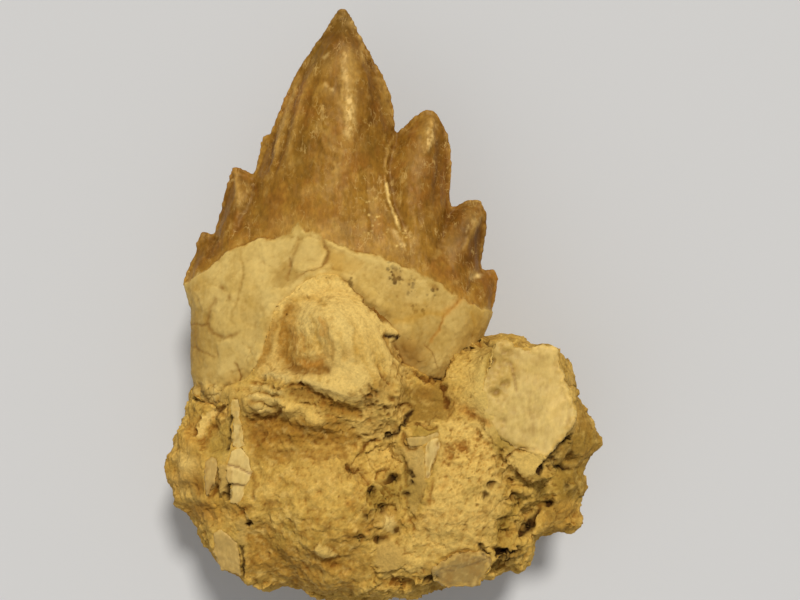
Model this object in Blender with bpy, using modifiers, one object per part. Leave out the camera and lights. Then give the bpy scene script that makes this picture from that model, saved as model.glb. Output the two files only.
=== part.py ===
"""Fossil whale tooth: a serrated cheek tooth, lying on its side, with its root still bedded in rock.

Lengths below are in millimetres and become metres when the points are made. X runs across the
crown, +Y towards the tip of the main cusp, and +Z up from the surface that the rock rests on.
The origin is the bottom centre of the whole specimen's box.
"""

import math

import bmesh
import bpy
import numpy as np
from mathutils import Matrix, Vector

MM = 0.001

# Driving dimensions, in millimetres
TOOTH_MID_Z = 22.0
ROOT_HALF_THICKNESS = 11.6
ROCK_EDGE_Z = 18.0
ROCK_TOP_Z = 33.0
ROCK_BOTTOM_Z = -2.0
SEAT_GAP = 0.42
SEAT_CLEARANCE = 3.0
SHARD_ROUNDING = 0.35

# Mesh fineness
ROCK_VOXEL = 1.0
ROCK_TRIANGLE_SHARE = 0.1
BLADE_SIDES = 20
TIP_START = 0.03

# How sharp a cusp's two edges are: 2 gives a knife edge, 1 an ellipse.
CROWN_EDGE = 1.7

# Edges of each cusp of the crown, (x, y) from the tip down: left edge, right edge, then the
# half thickness at the tip and at the base, and how far the tip leans up from the mid plane.
CUSPS = {
    "main_cusp": (
        [(-8.2, 58.8), (-10, 57), (-12.7, 54), (-15.1, 50.6), (-17.3, 46.3), (-19.3, 42.2),
         (-20.9, 38.3), (-22.2, 34.7), (-24.2, 30), (-26, 25), (-27.4, 18), (-29, 10), (-30, 1)],
        [(-8.2, 58.8), (-6.4, 57), (-4.4, 54), (-2.5, 50.6), (-1, 47), (0.6, 43.7), (1.6, 39.9),
         (2.1, 36), (2.4, 32), (3, 26), (3.9, 20), (5.2, 11), (6.5, 1)],
        (0.9, 10.8, 1.5),
    ),
    "step_denticle": (
        [(-23.7, 33.8), (-24.5, 32.6), (-24.8, 30.4), (-25.4, 27.6), (-26, 25), (-26.5, 21)],
        [(-23.7, 33.8), (-22.4, 33.9), (-20.5, 32.5), (-19.5, 30), (-19, 26), (-19, 21)],
        (0.5, 2.9, 0.0),
    ),
    "left_denticle_1": (
        [(-29.5, 27.6), (-30.5, 26.5), (-31.2, 24), (-32, 20.8), (-32.7, 18), (-33.4, 15.5),
         (-34.2, 12), (-35, 7.9), (-35.8, 3)],
        [(-29.5, 27.6), (-27.7, 26.8), (-25.7, 25.6), (-24, 22.4), (-23, 18.5), (-22, 13), (-21, 3)],
        (0.7, 7.4, 0.3),
    ),
    "left_denticle_2": (
        [(-35.8, 14.7), (-36.9, 13.7), (-37.3, 11.3), (-38.3, 8.3), (-39.6, 5.6), (-39.7, 3.6),
         (-38.9, 0)],
        [(-35.8, 14.7), (-34.2, 14.1), (-32.2, 12.4), (-30.8, 9), (-29.5, 5), (-28.5, 0)],
        (0.6, 5.6, 0.0),
    ),
    "right_denticle_1": (
        [(9.1, 38.9), (6.7, 37.9), (4.6, 36.3), (2.6, 34), (0.8, 30.8), (-1.4, 25), (-2, 19),
         (-1.5, 11), (-1, 1)],
        [(9.1, 38.9), (10.7, 37.7), (11.9, 35.8), (12.8, 32.8), (13.3, 28.8), (13.1, 24),
         (12.9, 19), (13.6, 13), (14.6, 7), (15.6, 1)],
        (1.0, 8.8, 0.8),
    ),
    "right_denticle_2": (
        [(18.4, 21), (16.4, 20.7), (14.4, 19.9), (12.4, 18.7), (10.4, 16), (8.8, 12), (8, 7), (8, -1)],
        [(18.4, 21), (19.8, 20.1), (20.4, 17.3), (20.2, 13.9), (19.6, 10.9), (19.1, 7.4),
         (19.3, 3), (19.6, -1)],
        (0.8, 7.6, 0.4),
    ),
    "right_denticle_3": (
        [(21.6, 7.1), (20, 6.9), (18.4, 6.4), (16.4, 4.8), (14.6, 2), (13.4, -1), (13, -5)],
        [(21.6, 7.1), (22.5, 6), (22.5, 4), (22.1, 2), (21.5, 0), (21, -2), (20.4, -5)],
        (0.6, 6.0, 0.0),
    ),
}

# The crown's base and the root below it, from inside the main cusp down into the rock: left edge,
# right edge, then (share of the way down, half thickness, edge sharpness).
BODY_LEFT = [(-20.5, 36), (-24.6, 27), (-30.2, 18), (-34.5, 11), (-38.2, 4.6), (-38.6, 0),
             (-38.3, -6), (-38.4, -13), (-37, -18.5), (-33.5, -22.5)]
BODY_RIGHT = [(0.5, 36), (5.4, 27), (11.6, 19), (16.2, 12.5), (19.6, 6), (21.1, 0.5), (20.9, -3),
              (19.4, -7.5), (16.5, -14), (11, -21)]
BODY_SECTIONS = [(0.0, 4.6, 1.7), (0.2, 6.5, 1.7), (0.38, 8.4, 1.6), (0.5, 10.2, 1.35),
                 (0.58, 11.2, 1.1), (0.7, ROOT_HALF_THICKNESS, 0.95), (0.88, 10.8, 0.95), (1.0, 8.4, 0.95)]

# The rock's outline seen from above, (x, y), and the point that its radii start from.
ROCK_CENTRE = (0.0, -32.0)
ROCK_OUTLINE = [
    (-38.9, -15.6), (-33, -12), (-25, -7), (-14, -4), (0, -3), (12, -4), (20, -5.5), (24, -6),
    (27, -6.8), (29.9, -8.3), (32, -7.1), (34.2, -7.6), (36.4, -11), (38.4, -15), (39.7, -19.6),
    (41.6, -24), (43.3, -27.4), (42.4, -29.3), (40.5, -30.8), (39.9, -35), (39.9, -39),
    (39, -43.2), (36.9, -46), (33.5, -46.6), (31.1, -47.4), (29, -51), (25.7, -53.3),
    (21.6, -53), (19.5, -55.8), (13.1, -56.4), (7.1, -57.8), (0.1, -58.9), (-6.9, -59.3),
    (-13.9, -57.5), (-20.3, -55.8), (-24.5, -56.7), (-28.1, -54.4), (-32.6, -52.6),
    (-34.6, -48.6), (-37.3, -44.4), (-39.4, -41.6), (-42.3, -39), (-43, -34.6), (-43.6, -30.6),
    (-42, -28.2), (-41.3, -25.2), (-40, -22.2), (-39.6, -19),
]

# Swellings and hollows of the rock's upper side: x, y, reach in x, reach in y, rise.
ROCK_RELIEF = [
    (-12, -38, 14, 9, 5.0),
    (-16, -24, 9, 4.5, 1.5),
    (1.4, -34, 2.6, 9, -6.5),
    (15, -34, 8, 11, 4.5),
    (15, -14, 5, 6, 2.0),
    (9, -18, 4, 4.5, -3.0),
    (31, -37, 7, 6, -5.0),
    (-35, -34, 5, 12, -2.5),
    (-22, -48, 3, 9, -3.0),
    (6, -52, 14, 5, 2.0),
]

# Rounded lumps joined to the rock: centre (x, y, z), then the three radii.
ROCK_LUMPS = [
    ((-8, -5.5, 35), (11, 9.5, 7.8)),
    ((-1.5, -10.5, 34), (7.8, 8.5, 7.6)),
    ((-15.5, -8.5, 34), (6.5, 9.5, 6.4)),
    ((-9, -15.5, 36), (12.5, 3.8, 4.6)),
    ((-23.6, -18.6, 31), (5.4, 3.2, 6)),
    ((2.5, -19, 31), (4, 4, 7)),
    ((33.5, -41, 17), (6.5, 5.5, 9)),
    ((38.5, -27.5, 18), (4.6, 3.4, 8)),
    ((26, -45, 18), (7, 7, 11)),
    ((-37, -36, 16), (6, 9, 8)),
    ((-12, -30, 10), (24, 16, 11.5)),
    ((18, -36, 11), (18, 14, 12.5)),
    ((-2, -12, 10), (22, 10, 8)),
]

# Broken faces of the rock's sides and underside: a point on each, and the way that it faces.
ROCK_FACETS = [
    ((-33, -34, 7), (-0.72, 0.05, -0.69)),
    ((-27, -47, 8), (-0.5, -0.6, -0.62)),
    ((-6, -53, 8), (0.12, -0.78, -0.61)),
    ((24, -46, 8), (0.5, -0.62, -0.6)),
    ((34, -30, 8), (0.76, 0.1, -0.64)),
    ((10, -9, 6), (0.2, 0.72, -0.66)),
    ((-22, -12, 6), (-0.3, 0.68, -0.67)),
    ((38, -36, 25), (0.8, -0.2, 0.56)),
    ((30, -47, 24), (0.45, -0.72, 0.53)),
    ((-38, -40, 25), (-0.72, -0.3, 0.62)),
    ((-12, -55, 27), (-0.1, -0.82, 0.56)),
]

# Angular blocks and ledges joined to the rock: outline, lowest and highest z.
ROCK_BLOCKS = [
    ([(17.5, -8.5), (22, -6.4), (28, -8), (32.2, -7.6), (35, -14), (37.4, -20), (36.5, -26),
      (30, -32), (24, -29), (19, -25), (16, -16)], 12, 34.0),
    ([(-11.6, 4.4), (-7, 3.0), (-1.5, -1.2), (2.8, -6), (2.4, -9), (5.2, -13), (3.2, -17.5),
      (-4, -19.4), (-9.5, -18), (-15, -16), (-22.4, -14.6), (-20.4, -7), (-18.6, -1)], 29, 38.5),
    ([(-18.5, -19), (-4, -19.5), (0.5, -20.5), (-3.5, -23), (-14, -22.6), (-19, -21.5)], 27, 36.5),
]

# Hollows, overhangs and clefts cut into the rock: centre (x, y, z), the radii, turn about Z.
ROCK_PITS = [
    ((-13.3, -7, 44.6), (4.6, 6.8, 5.4), -8),
    ((-17.2, -17.6, 38.6), (3.4, 1.7, 3.2), 8),
    ((-7.5, -20.2, 37.6), (6.5, 1.6, 2.6), -12),
    ((9.6, -18.6, 36.5), (4.4, 4.6, 5.8), -20),
    ((32.5, -32.4, 26), (7.0, 2.0, 6), 28),
    ((27.6, -41.5, 28), (2.6, 4.6, 6), -20),
    ((21.5, -50.4, 24), (3.4, 2.2, 5), 30),
    ((-1.2, -34.6, 36), (1.8, 2.4, 3.6), 0),
]

# Loose fragments bedded in the rock: outline, height of the middle of the face, thickness,
# tilt about X and about Y in degrees.
CREAM = (0.62, 0.47, 0.24)
FRAGMENTS = {
    "bone_slab": ([(19.4, -8.4), (22, -6.2), (24.6, -6), (26.8, -6.9), (28.6, -8.2), (30.4, -7.1),
                   (32.6, -7.8), (33.6, -11), (34.4, -15.8), (35.9, -18.6), (36.4, -20.8),
                   (34.4, -24), (31.9, -27.8), (28.8, -31), (25.2, -28.4), (21.5, -27),
                   (19.2, -22), (18.5, -14.5)], 34.9, 4.8, -3.5, 2.5),
    "bone_strip": ([(7.8, -25.9), (9.9, -25.5), (10.9, -27.8), (10.7, -33.1), (9.5, -36.9),
                    (8, -37.5), (7.4, -33.1)], 35.6, 5.0, -4.0, -12.0),
    "bone_chip": ([(3.8, -23.5), (7.6, -22.6), (10.8, -23.1), (10.5, -24.9), (7, -25.5),
                   (4.2, -25.6)], 35.0, 4.6, 8.0, 0.0),
    "root_shard_upper": ([(-29.3, -17.2), (-27.8, -16.6), (-26.6, -18.2), (-26.8, -23),
                          (-27.4, -26.4), (-28.9, -26.8), (-29.7, -23.9)], 32.4, 5.0, 2.0, -12.0),
    "root_shard_blade": ([(-34.2, -28.4), (-32.4, -29.4), (-32.4, -34), (-33.4, -37.6),
                          (-35, -37), (-35.4, -33)], 30.2, 5.0, 2.0, -20.0),
    "root_shard_segmented": ([(-29.3, -27.6), (-26.5, -27.2), (-25.3, -30.1), (-25.5, -34.8),
                              (-26.2, -38.3), (-28.4, -38.6), (-29.9, -36.2), (-30.1, -30.8)],
                             32.6, 5.0, -2.0, -10.0),
    "root_shard_lower": ([(-33, -44), (-28.8, -43.6), (-27.4, -47.3), (-27.2, -51.6),
                          (-29, -53.4), (-31.9, -50.2), (-33.8, -47.3)], 28.4, 6.0, 16.0, -16.0),
    "facet_block": ([(9.6, -50.6), (15.3, -48.1), (19.2, -48.3), (21, -50.2), (20.3, -52.4),
                     (18.6, -55.4), (12.1, -55.6), (8.2, -53.4)], 31.2, 7.0, 24.0, 6.0),
}


def material(name, colour, roughness):
    made = bpy.data.materials.new(name)
    made.use_nodes = True
    shader = made.node_tree.nodes["Principled BSDF"]
    shader.inputs["Base Color"].default_value = (*colour, 1.0)
    shader.inputs["Roughness"].default_value = roughness
    shader.inputs["Metallic"].default_value = 0.0
    made.diffuse_color = (*colour, 1.0)
    return made


def collection(name):
    made = bpy.data.collections.new(name)
    bpy.context.scene.collection.children.link(made)
    return made


def new_object(name, bm, into):
    """An object made from the bmesh, with its faces turned outwards."""
    bmesh.ops.recalc_face_normals(bm, faces=bm.faces)
    mesh = bpy.data.meshes.new(name)
    bm.to_mesh(mesh)
    bm.free()
    made = bpy.data.objects.new(name, mesh)
    into.objects.link(made)
    return made


def smooth_line(points, count, start=0.0):
    """The given number of points along a smooth curve through the hand-chosen ones."""
    knots = np.array(points, float)
    padded = np.vstack([2 * knots[0] - knots[1], knots, 2 * knots[-1] - knots[-2]])
    steps = np.linalg.norm(np.diff(knots, axis=0), axis=1)
    reach = np.concatenate([[0.0], np.cumsum(steps)]) / steps.sum()
    made = []
    for place in np.linspace(start, 1.0, count):
        span = min(int(np.searchsorted(reach, place, side="right")) - 1, len(knots) - 2)
        t = (place - reach[span]) / (reach[span + 1] - reach[span])
        before, first, second, after = padded[span:span + 4]
        made.append(0.5 * (2 * first + (second - before) * t
                           + (2 * before - 5 * first + 4 * second - after) * t ** 2
                           + (3 * first - before - 3 * second + after) * t ** 3))
    return made


def blade_ring(left, right, half_thickness, centre_z, edge, sides):
    """One cross-section: a lens between the two edges, with a knife edge or a round one."""
    middle, half = (left + right) / 2, (right - left) / 2
    ring = []
    for side in range(sides):
        turn = 2 * math.pi * side / sides
        across, up = math.cos(turn), math.sin(turn)
        x, y = middle + half * across
        z = centre_z + math.copysign(half_thickness * abs(up) ** edge, up)
        ring.append(Vector((x, y, z)) * MM)
    return ring


def loft(name, rings, into):
    """A closed solid through the rings, with flat ends."""
    bm = bmesh.new()
    rows = [[bm.verts.new(point) for point in ring] for ring in rings]
    for upper, lower in zip(rows, rows[1:]):
        for side in range(len(upper)):
            after = (side + 1) % len(upper)
            bm.faces.new((upper[side], upper[after], lower[after], lower[side]))
    bm.faces.new(rows[0])
    bm.faces.new(reversed(rows[-1]))
    return new_object(name, bm, into)


def cusp(name, left, right, thickness, into):
    tip_half, base_half, lean = thickness
    reach = abs(left[0][1] - left[-1][1])
    count = max(8, round(reach / 2.7))
    sides = BLADE_SIDES if reach > 25 else BLADE_SIDES - 6
    rings = []
    edges = zip(smooth_line(left, count, TIP_START), smooth_line(right, count, TIP_START))
    for row, (left_point, right_point) in enumerate(edges):
        down = row / (count - 1)
        half = tip_half + (base_half - tip_half) * down ** 0.8
        rings.append(blade_ring(left_point, right_point, half, TOOTH_MID_Z + lean * (1 - down),
                                CROWN_EDGE, sides))
    return loft(name, rings, into)


def tooth_body(into):
    """The base of the crown and the root: a lens at the top that becomes a round bar below."""
    count = 22
    places, halves, edges = zip(*BODY_SECTIONS)
    rings = []
    for row, (left, right) in enumerate(zip(smooth_line(BODY_LEFT, count),
                                            smooth_line(BODY_RIGHT, count))):
        down = row / (count - 1)
        rings.append(blade_ring(left, right, np.interp(down, places, halves), TOOTH_MID_Z,
                                np.interp(down, places, edges), BLADE_SIDES + 6))
    return loft("tooth", rings, into)


def boolean(target, operation, other):
    modifier = target.modifiers.new(operation.title() + " " + other.name, "BOOLEAN")
    modifier.operation = operation
    modifier.solver = "EXACT"
    modifier.object = other


def evaluated_mesh(source):
    graph = bpy.context.evaluated_depsgraph_get()
    return bpy.data.meshes.new_from_object(source.evaluated_get(graph))


def make_helper(piece):
    """Keeps a cutter out of the render, and shows it as wire."""
    piece.hide_render = True
    piece.display_type = "WIRE"
    return piece


def build_tooth(parts, cutters):
    tooth = tooth_body(parts)
    for name, (left, right, thickness) in CUSPS.items():
        boolean(tooth, "UNION", make_helper(cusp(name, left, right, thickness, cutters)))
    tooth.data.materials.append(material("golden_enamel", (0.36, 0.19, 0.06), 0.28))
    return tooth


def outline_solid(name, outline, thickness, into, grow=0.0):
    """A flat plate of the outline's shape with rounded edges, about its own middle."""
    curve = bpy.data.curves.new(name, "CURVE")
    curve.dimensions = "2D"
    curve.fill_mode = "BOTH"
    curve.extrude = (thickness / 2 - SHARD_ROUNDING) * MM
    curve.bevel_depth = SHARD_ROUNDING * MM
    curve.bevel_resolution = 1
    curve.offset = (grow - SHARD_ROUNDING) * MM
    spline = curve.splines.new("POLY")
    spline.points.add(len(outline) - 1)
    spline.use_cyclic_u = True
    middle = np.mean(np.array(outline), axis=0)
    for point, place in zip(spline.points, np.array(outline) - middle):
        point.co = (*(place * MM), 0, 1)
    flat = bpy.data.objects.new(name + "_outline", curve)
    into.objects.link(flat)
    bm = bmesh.new()
    bm.from_mesh(evaluated_mesh(flat))
    bpy.data.objects.remove(flat)
    bmesh.ops.remove_doubles(bm, verts=bm.verts, dist=0.02 * MM)
    bmesh.ops.triangulate(bm, faces=bm.faces)
    return new_object(name, bm, into)


def build_fragment(name, parts, cutters):
    """A fragment with its face at the stated height and tilt, and the cutter of its seat."""
    outline, face_z, thickness, tilt_x, tilt_y = FRAGMENTS[name]
    middle = np.mean(np.array(outline), axis=0)
    turn = Matrix.Rotation(math.radians(tilt_y), 4, "Y") @ Matrix.Rotation(math.radians(tilt_x), 4, "X")
    place = Matrix.Translation(Vector((*middle, face_z)) * MM) @ turn
    piece = outline_solid(name, outline, thickness, parts)
    piece.data.transform(place @ Matrix.Translation(Vector((0, 0, -thickness / 2)) * MM))
    piece.data.materials.append(material(name + "_bone", CREAM, 0.55))
    depth = thickness + SEAT_GAP + SEAT_CLEARANCE
    cutter = outline_solid(name + "_seat", outline, depth, cutters, grow=SEAT_GAP)
    lift = SEAT_CLEARANCE - depth / 2
    cutter.data.transform(place @ Matrix.Translation(Vector((0, 0, lift)) * MM))
    return piece, make_helper(cutter)


def tooth_seat(tooth, cutters):
    """The tooth's own shape grown by the seat gap, to cut the socket of its root."""
    cutter = bpy.data.objects.new("tooth_seat", evaluated_mesh(tooth))
    cutters.objects.link(cutter)
    grow = cutter.modifiers.new("Grow", "DISPLACE")
    grow.direction = "NORMAL"
    grow.mid_level = 0.0
    grow.strength = SEAT_GAP * MM
    return make_helper(cutter)


def rock_radius(angle):
    """Distance from the rock's centre to its outline in this direction."""
    offsets = np.array(ROCK_OUTLINE) - ROCK_CENTRE
    angles = np.arctan2(offsets[:, 1], offsets[:, 0])
    return float(np.interp(angle, angles, np.hypot(*offsets.T), period=2 * math.pi))


def rock_relief(x, y):
    return sum(rise * math.exp(-((x - cx) / rx) ** 2 - ((y - cy) / ry) ** 2)
               for cx, cy, rx, ry, rise in ROCK_RELIEF)


def rock_pebble(bm):
    """The rock's main mass: a sphere drawn out to the outline, flat-topped above, rounder below."""
    made = bmesh.ops.create_uvsphere(bm, u_segments=120, v_segments=44, radius=1.0)
    for vert in made["verts"]:
        across = min(1.0, math.hypot(vert.co.x, vert.co.y))
        angle = math.atan2(vert.co.y, vert.co.x)
        squareness = 0.7 if vert.co.z > 0 else 0.85
        reach = across ** squareness * rock_radius(angle)
        x = ROCK_CENTRE[0] + reach * math.cos(angle)
        y = ROCK_CENTRE[1] + reach * math.sin(angle)
        height = abs(vert.co.z) ** squareness
        if vert.co.z > 0:
            z = ROCK_EDGE_Z + (ROCK_TOP_Z + rock_relief(x, y) - ROCK_EDGE_Z) * height
        else:
            z = ROCK_EDGE_Z + (ROCK_BOTTOM_Z - ROCK_EDGE_Z) * height
        vert.co = Vector((x, y, z)) * MM


def break_off(bm, point, outward):
    """Flattens whatever stands beyond the plane through the point, as a fracture would."""
    normal = Vector(outward).normalized()
    for vert in bm.verts:
        beyond = (vert.co - Vector(point) * MM).dot(normal)
        if beyond > 0:
            vert.co -= beyond * normal


def add_ellipsoid(bm, centre, radii, turn=0.0):
    place = Matrix.Translation(Vector(centre) * MM) @ Matrix.Rotation(math.radians(turn), 4, "Z")
    bmesh.ops.create_icosphere(bm, subdivisions=3, radius=MM, matrix=place @ Matrix.Diagonal((*radii, 1)))


def add_block(bm, outline, low, high):
    """A prism of the outline, slightly narrower at its top."""
    middle = np.mean(np.array(outline), axis=0)
    rings = []
    for z, size in ((low, 1.0), (high - 1.5, 1.0), (high, 0.9)):
        ring = [Vector((*(middle + (np.array(point) - middle) * size), z)) * MM for point in outline]
        rings.append([bm.verts.new(point) for point in ring])
    for lower, upper in zip(rings, rings[1:]):
        for side in range(len(outline)):
            after = (side + 1) % len(outline)
            bm.faces.new((lower[side], upper[side], upper[after], lower[after]))
    bm.faces.new(rings[0])
    bm.faces.new(reversed(rings[-1]))


def roughen(target, name, kind, size, strength):
    texture = bpy.data.textures.new(name, kind)
    texture.noise_scale = size * MM
    modifier = target.modifiers.new(name, "DISPLACE")
    modifier.texture = texture
    modifier.texture_coords = "LOCAL"
    modifier.mid_level = 0.5
    modifier.strength = strength * MM


def build_rock(parts, cutters):
    bm = bmesh.new()
    rock_pebble(bm)
    for centre, radii in ROCK_LUMPS:
        add_ellipsoid(bm, centre, radii)
    for outline, low, high in ROCK_BLOCKS:
        add_block(bm, outline, low, high)
    for point, outward in ROCK_FACETS:
        break_off(bm, point, outward)
    rock = new_object("matrix", bm, parts)
    fuse = rock.modifiers.new("Fuse lumps", "REMESH")
    fuse.mode = "VOXEL"
    fuse.voxel_size = ROCK_VOXEL * MM
    soften = rock.modifiers.new("Soften", "SMOOTH")
    soften.factor = 0.5
    soften.iterations = 3
    roughen(rock, "Broad lumps", "CLOUDS", 9.0, 2.4)
    roughen(rock, "Small lumps", "VORONOI", 4.0, 1.2)
    thin = rock.modifiers.new("Thin out", "DECIMATE")
    thin.ratio = ROCK_TRIANGLE_SHARE
    for number, (centre, radii, turn) in enumerate(ROCK_PITS, 1):
        bm = bmesh.new()
        place = Matrix.Translation(Vector(centre) * MM) @ Matrix.Rotation(math.radians(turn), 4, "Z")
        bmesh.ops.create_icosphere(bm, subdivisions=2, radius=MM,
                                   matrix=place @ Matrix.Diagonal((*radii, 1)))
        boolean(rock, "DIFFERENCE", make_helper(new_object(f"pit_{number}", bm, cutters)))
    rock.data.materials.append(material("sandy_rock", (0.55, 0.39, 0.17), 0.9))
    return rock


def rest_cutter(cutters):
    """A block below z = 0, which gives the rock the flat face that it rests on."""
    bm = bmesh.new()
    place = Matrix.Translation((0, 0, -20 * MM))
    bmesh.ops.create_cube(bm, size=1.0, matrix=place @ Matrix.Diagonal((0.2, 0.2, 40 * MM, 1)))
    return make_helper(new_object("rest_plane", bm, cutters))


def centre_on_origin(pieces, helpers):
    """Moves everything so that the origin is the bottom centre of the whole box."""
    bpy.context.view_layer.update()
    graph = bpy.context.evaluated_depsgraph_get()
    corners = np.array([piece.matrix_world @ Vector(corner) for piece in pieces
                        for corner in piece.evaluated_get(graph).bound_box])
    low, high = corners.min(axis=0), corners.max(axis=0)
    shift = Vector((-(low[0] + high[0]) / 2, -(low[1] + high[1]) / 2, -low[2]))
    for piece in [*pieces, *helpers]:
        piece.location += shift


def main():
    for old in list(bpy.data.objects):
        bpy.data.objects.remove(old)
    parts = collection("fossil_whale_tooth")
    cutters = collection("cutters")
    tooth = build_tooth(parts, cutters)
    rock = build_rock(parts, cutters)
    fragments, seats = zip(*[build_fragment(name, parts, cutters) for name in FRAGMENTS])
    boolean(tooth, "DIFFERENCE", cutters.objects["root_shard_upper_seat"])
    for cutter in [tooth_seat(tooth, cutters), *seats, rest_cutter(cutters)]:
        boolean(rock, "DIFFERENCE", cutter)
    centre_on_origin([tooth, rock, *fragments], cutters.objects)


main()
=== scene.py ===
"""The looks of a fossil whale tooth in its rock matrix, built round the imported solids.

Each solid is copied, remeshed finely and then sculpted and painted with named strokes. A stroke's
points are pixels of the 800 x 600 view from above, which the camera below shares, so a stroke
lands on whatever surface lies under it. Heights and lifts are in millimetres, and what is said to
be in pixels is measured in that view. The tables are texts that rows and words read.
"""

import math
import re

import bmesh
import bpy
import numpy as np
from mathutils import Euler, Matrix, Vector, noise
from mathutils.bvhtree import BVHTree


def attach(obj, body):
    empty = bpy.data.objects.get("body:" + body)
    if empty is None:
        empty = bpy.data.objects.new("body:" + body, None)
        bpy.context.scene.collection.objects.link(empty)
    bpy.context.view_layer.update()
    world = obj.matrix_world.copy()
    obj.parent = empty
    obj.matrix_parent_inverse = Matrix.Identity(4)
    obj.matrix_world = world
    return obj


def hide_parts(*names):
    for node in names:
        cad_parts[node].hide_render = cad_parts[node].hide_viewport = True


# noise_vector draws on this seed, which would otherwise come from the clock
noise.seed_set(4)
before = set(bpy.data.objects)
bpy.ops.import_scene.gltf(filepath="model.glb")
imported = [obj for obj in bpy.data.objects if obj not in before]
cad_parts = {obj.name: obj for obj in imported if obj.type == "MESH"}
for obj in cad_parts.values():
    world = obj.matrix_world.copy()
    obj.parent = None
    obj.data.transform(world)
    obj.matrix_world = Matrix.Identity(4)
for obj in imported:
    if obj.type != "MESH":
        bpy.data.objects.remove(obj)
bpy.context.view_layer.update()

MM = 0.001
VIEW_CENTRE = (400.0, 300.0)
FOCAL_PIXELS = 1325.0
VIEW_WIDTH = 800.0
WHOLE_VIEW = [(0, 0), (800, 0), (800, 600), (0, 600)]
SENSOR_WIDTH = 36.0
CAMERA_MM = (3.52, 2.0, 285.0)
# the crown's tip in the view, across
TIP_MIDDLE = 342.5
# heights in millimetres: where rays start above and below the part, where the face that the view
# shows begins, and where a search for that face begins
ABOVE = 60.0
BELOW = -20.0
FACE_LOW = 12.0
FACE_GUESS = 33.0
# voxels of the remeshed pieces, in millimetres; the rock is fused a second time, more coarsely
TOOTH_VOXEL = 0.51
ROCK_VOXEL = 0.76
ROCK_LAST_VOXEL = 0.98
SHARD_VOXEL = 0.27
FILM_THICKNESS = 3.0
SHARD_THICKNESS = 3.2


# ---------------------------------------------------------------- tables

def words(text):
    """The names, numbers and points (such as 336,279) of a text."""
    found = []
    for word in text.split():
        numbers = () if word[0].isalpha() else tuple(map(float, word.split(",")))
        found.append(numbers[0] if len(numbers) == 1 else numbers or word)
    return found


def rows(text):
    """A table. Semicolons part its rows, and the lines after a row's colons come first in it."""
    table = []
    for row in re.sub("#.*", "", text).split(";"):
        rest, *lines = row.split(":")
        table.append([words(line) for line in lines] + words(rest))
    return table


def linear(red, green, blue):
    """A colour given as 0 to 255 screen values, as linear light."""
    screen = np.array([red, green, blue]) / 255.0
    return np.where(screen <= 0.04045, screen / 12.92, ((screen + 0.055) / 1.055) ** 2.4)


# Of these colours, glint is a painted highlight. The near-black one and the stain brown paint both
# real dirt and stains and painted shade in cracks, pits, hollows and under ledges.
COLOURS = {name: linear(*screen) for name, *screen in rows("""
glint 236 202 130; enamel 142 100 32; enamel_pale 196 158 86; enamel_red 150 96 36;
enamel_dark 92 56 10; enamel_grey 116 86 28; root 190 160 88; root_pale 212 185 114;
root_tan 166 132 64; amber 184 142 58; stain 132 88 24; orange 182 128 50; cream 228 196 116;
rock 200 164 80; rock_pale 218 184 102; rock_brown 157 112 38; rock_olive 149 120 46;
olive_dark 140 106 40; dirt 56 34 8; slab 204 176 100; shard_grey 188 156 86; block 166 136 72
""")}
SCRATCH_PALE = (*linear(206, 172, 104), 1.0)


# ---------------------------------------------------------------- noise and shapes in the view

def turned(points, size, seed):
    """Points in a noise's own space, turned so that its lattice doesn't show on level faces."""
    turn = np.array(Euler((0.6, 0.4, 0.9)).to_matrix())
    return ((points / size) @ turn + np.array([seed * 7.3, seed * 3.1, seed * 5.7])).tolist()


def fbm(points, size, octaves, seed):
    """Fractal noise of about -1 to 1, for points in millimetres."""
    return np.array([noise.fractal(p, 0.7, 2.1, octaves) for p in turned(points, size, seed)])


def cells(points, size, seed):
    """Distance to the nearest and second nearest random centre, in cell sizes."""
    found = np.array([noise.voronoi(p)[0][:2] for p in turned(points, size, seed)])
    return found[:, 0], found[:, 1]


def speckle(points, size, share, reach, seed):
    """Scattered round pits, 1 at their middles, in a share of random cells."""
    depth = np.zeros(len(points))
    for index, point in enumerate(turned(points, size, seed)):
        gaps, centres = noise.voronoi(point)
        lot = (centres[0][0] * 12.9898 + centres[0][1] * 78.233) * 43.7585 % 1
        if lot < share:
            depth[index] = 1 - gaps[0] / reach
    return ramp(depth, 0, 1)


def ramp(value, low, high):
    """0 up to the low value, 1 from the high one, and smooth between them."""
    t = np.clip((value - low) / (high - low), 0.0, 1.0)
    return t * t * (3 - 2 * t)


def to_view(points):
    """Pixels of the view for points in millimetres."""
    scale = (CAMERA_MM[2] - points[:, 2]) / FOCAL_PIXELS
    across = VIEW_CENTRE[0] + (points[:, 0] - CAMERA_MM[0]) / scale
    down = VIEW_CENTRE[1] - (points[:, 1] - CAMERA_MM[1]) / scale
    return np.column_stack([across, down])


def from_view(across, down, height):
    """The point in millimetres that a pixel of the view shows at the given height."""
    scale = (CAMERA_MM[2] - height) / FOCAL_PIXELS
    return (CAMERA_MM[0] + (across - VIEW_CENTRE[0]) * scale,
            CAMERA_MM[1] - (down - VIEW_CENTRE[1]) * scale)


def line_distance(spots, line):
    """Distance in pixels from each spot to the line, and how far along it (0 to 1) that is."""
    line = np.array(line, float)
    lengths = np.linalg.norm(np.diff(line, axis=0), axis=1)
    starts = np.concatenate([[0.0], np.cumsum(lengths)])
    best = np.full(len(spots), 1e9)
    along = np.zeros(len(spots))
    for start, first, last, length in zip(starts, line, line[1:], lengths):
        toward = (last - first) / max(length, 1e-9)
        t = np.clip((spots - first) @ toward, 0, length)
        gap = np.linalg.norm(spots - first - t[:, None] * toward, axis=1)
        closer = gap < best
        best[closer] = gap[closer]
        along[closer] = (start + t[closer]) / starts[-1]
    return best, along


def fading(along, low, high):
    """Fades a stroke out at its two ends."""
    return ramp(np.minimum(along, 1 - along), low, high)


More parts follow.
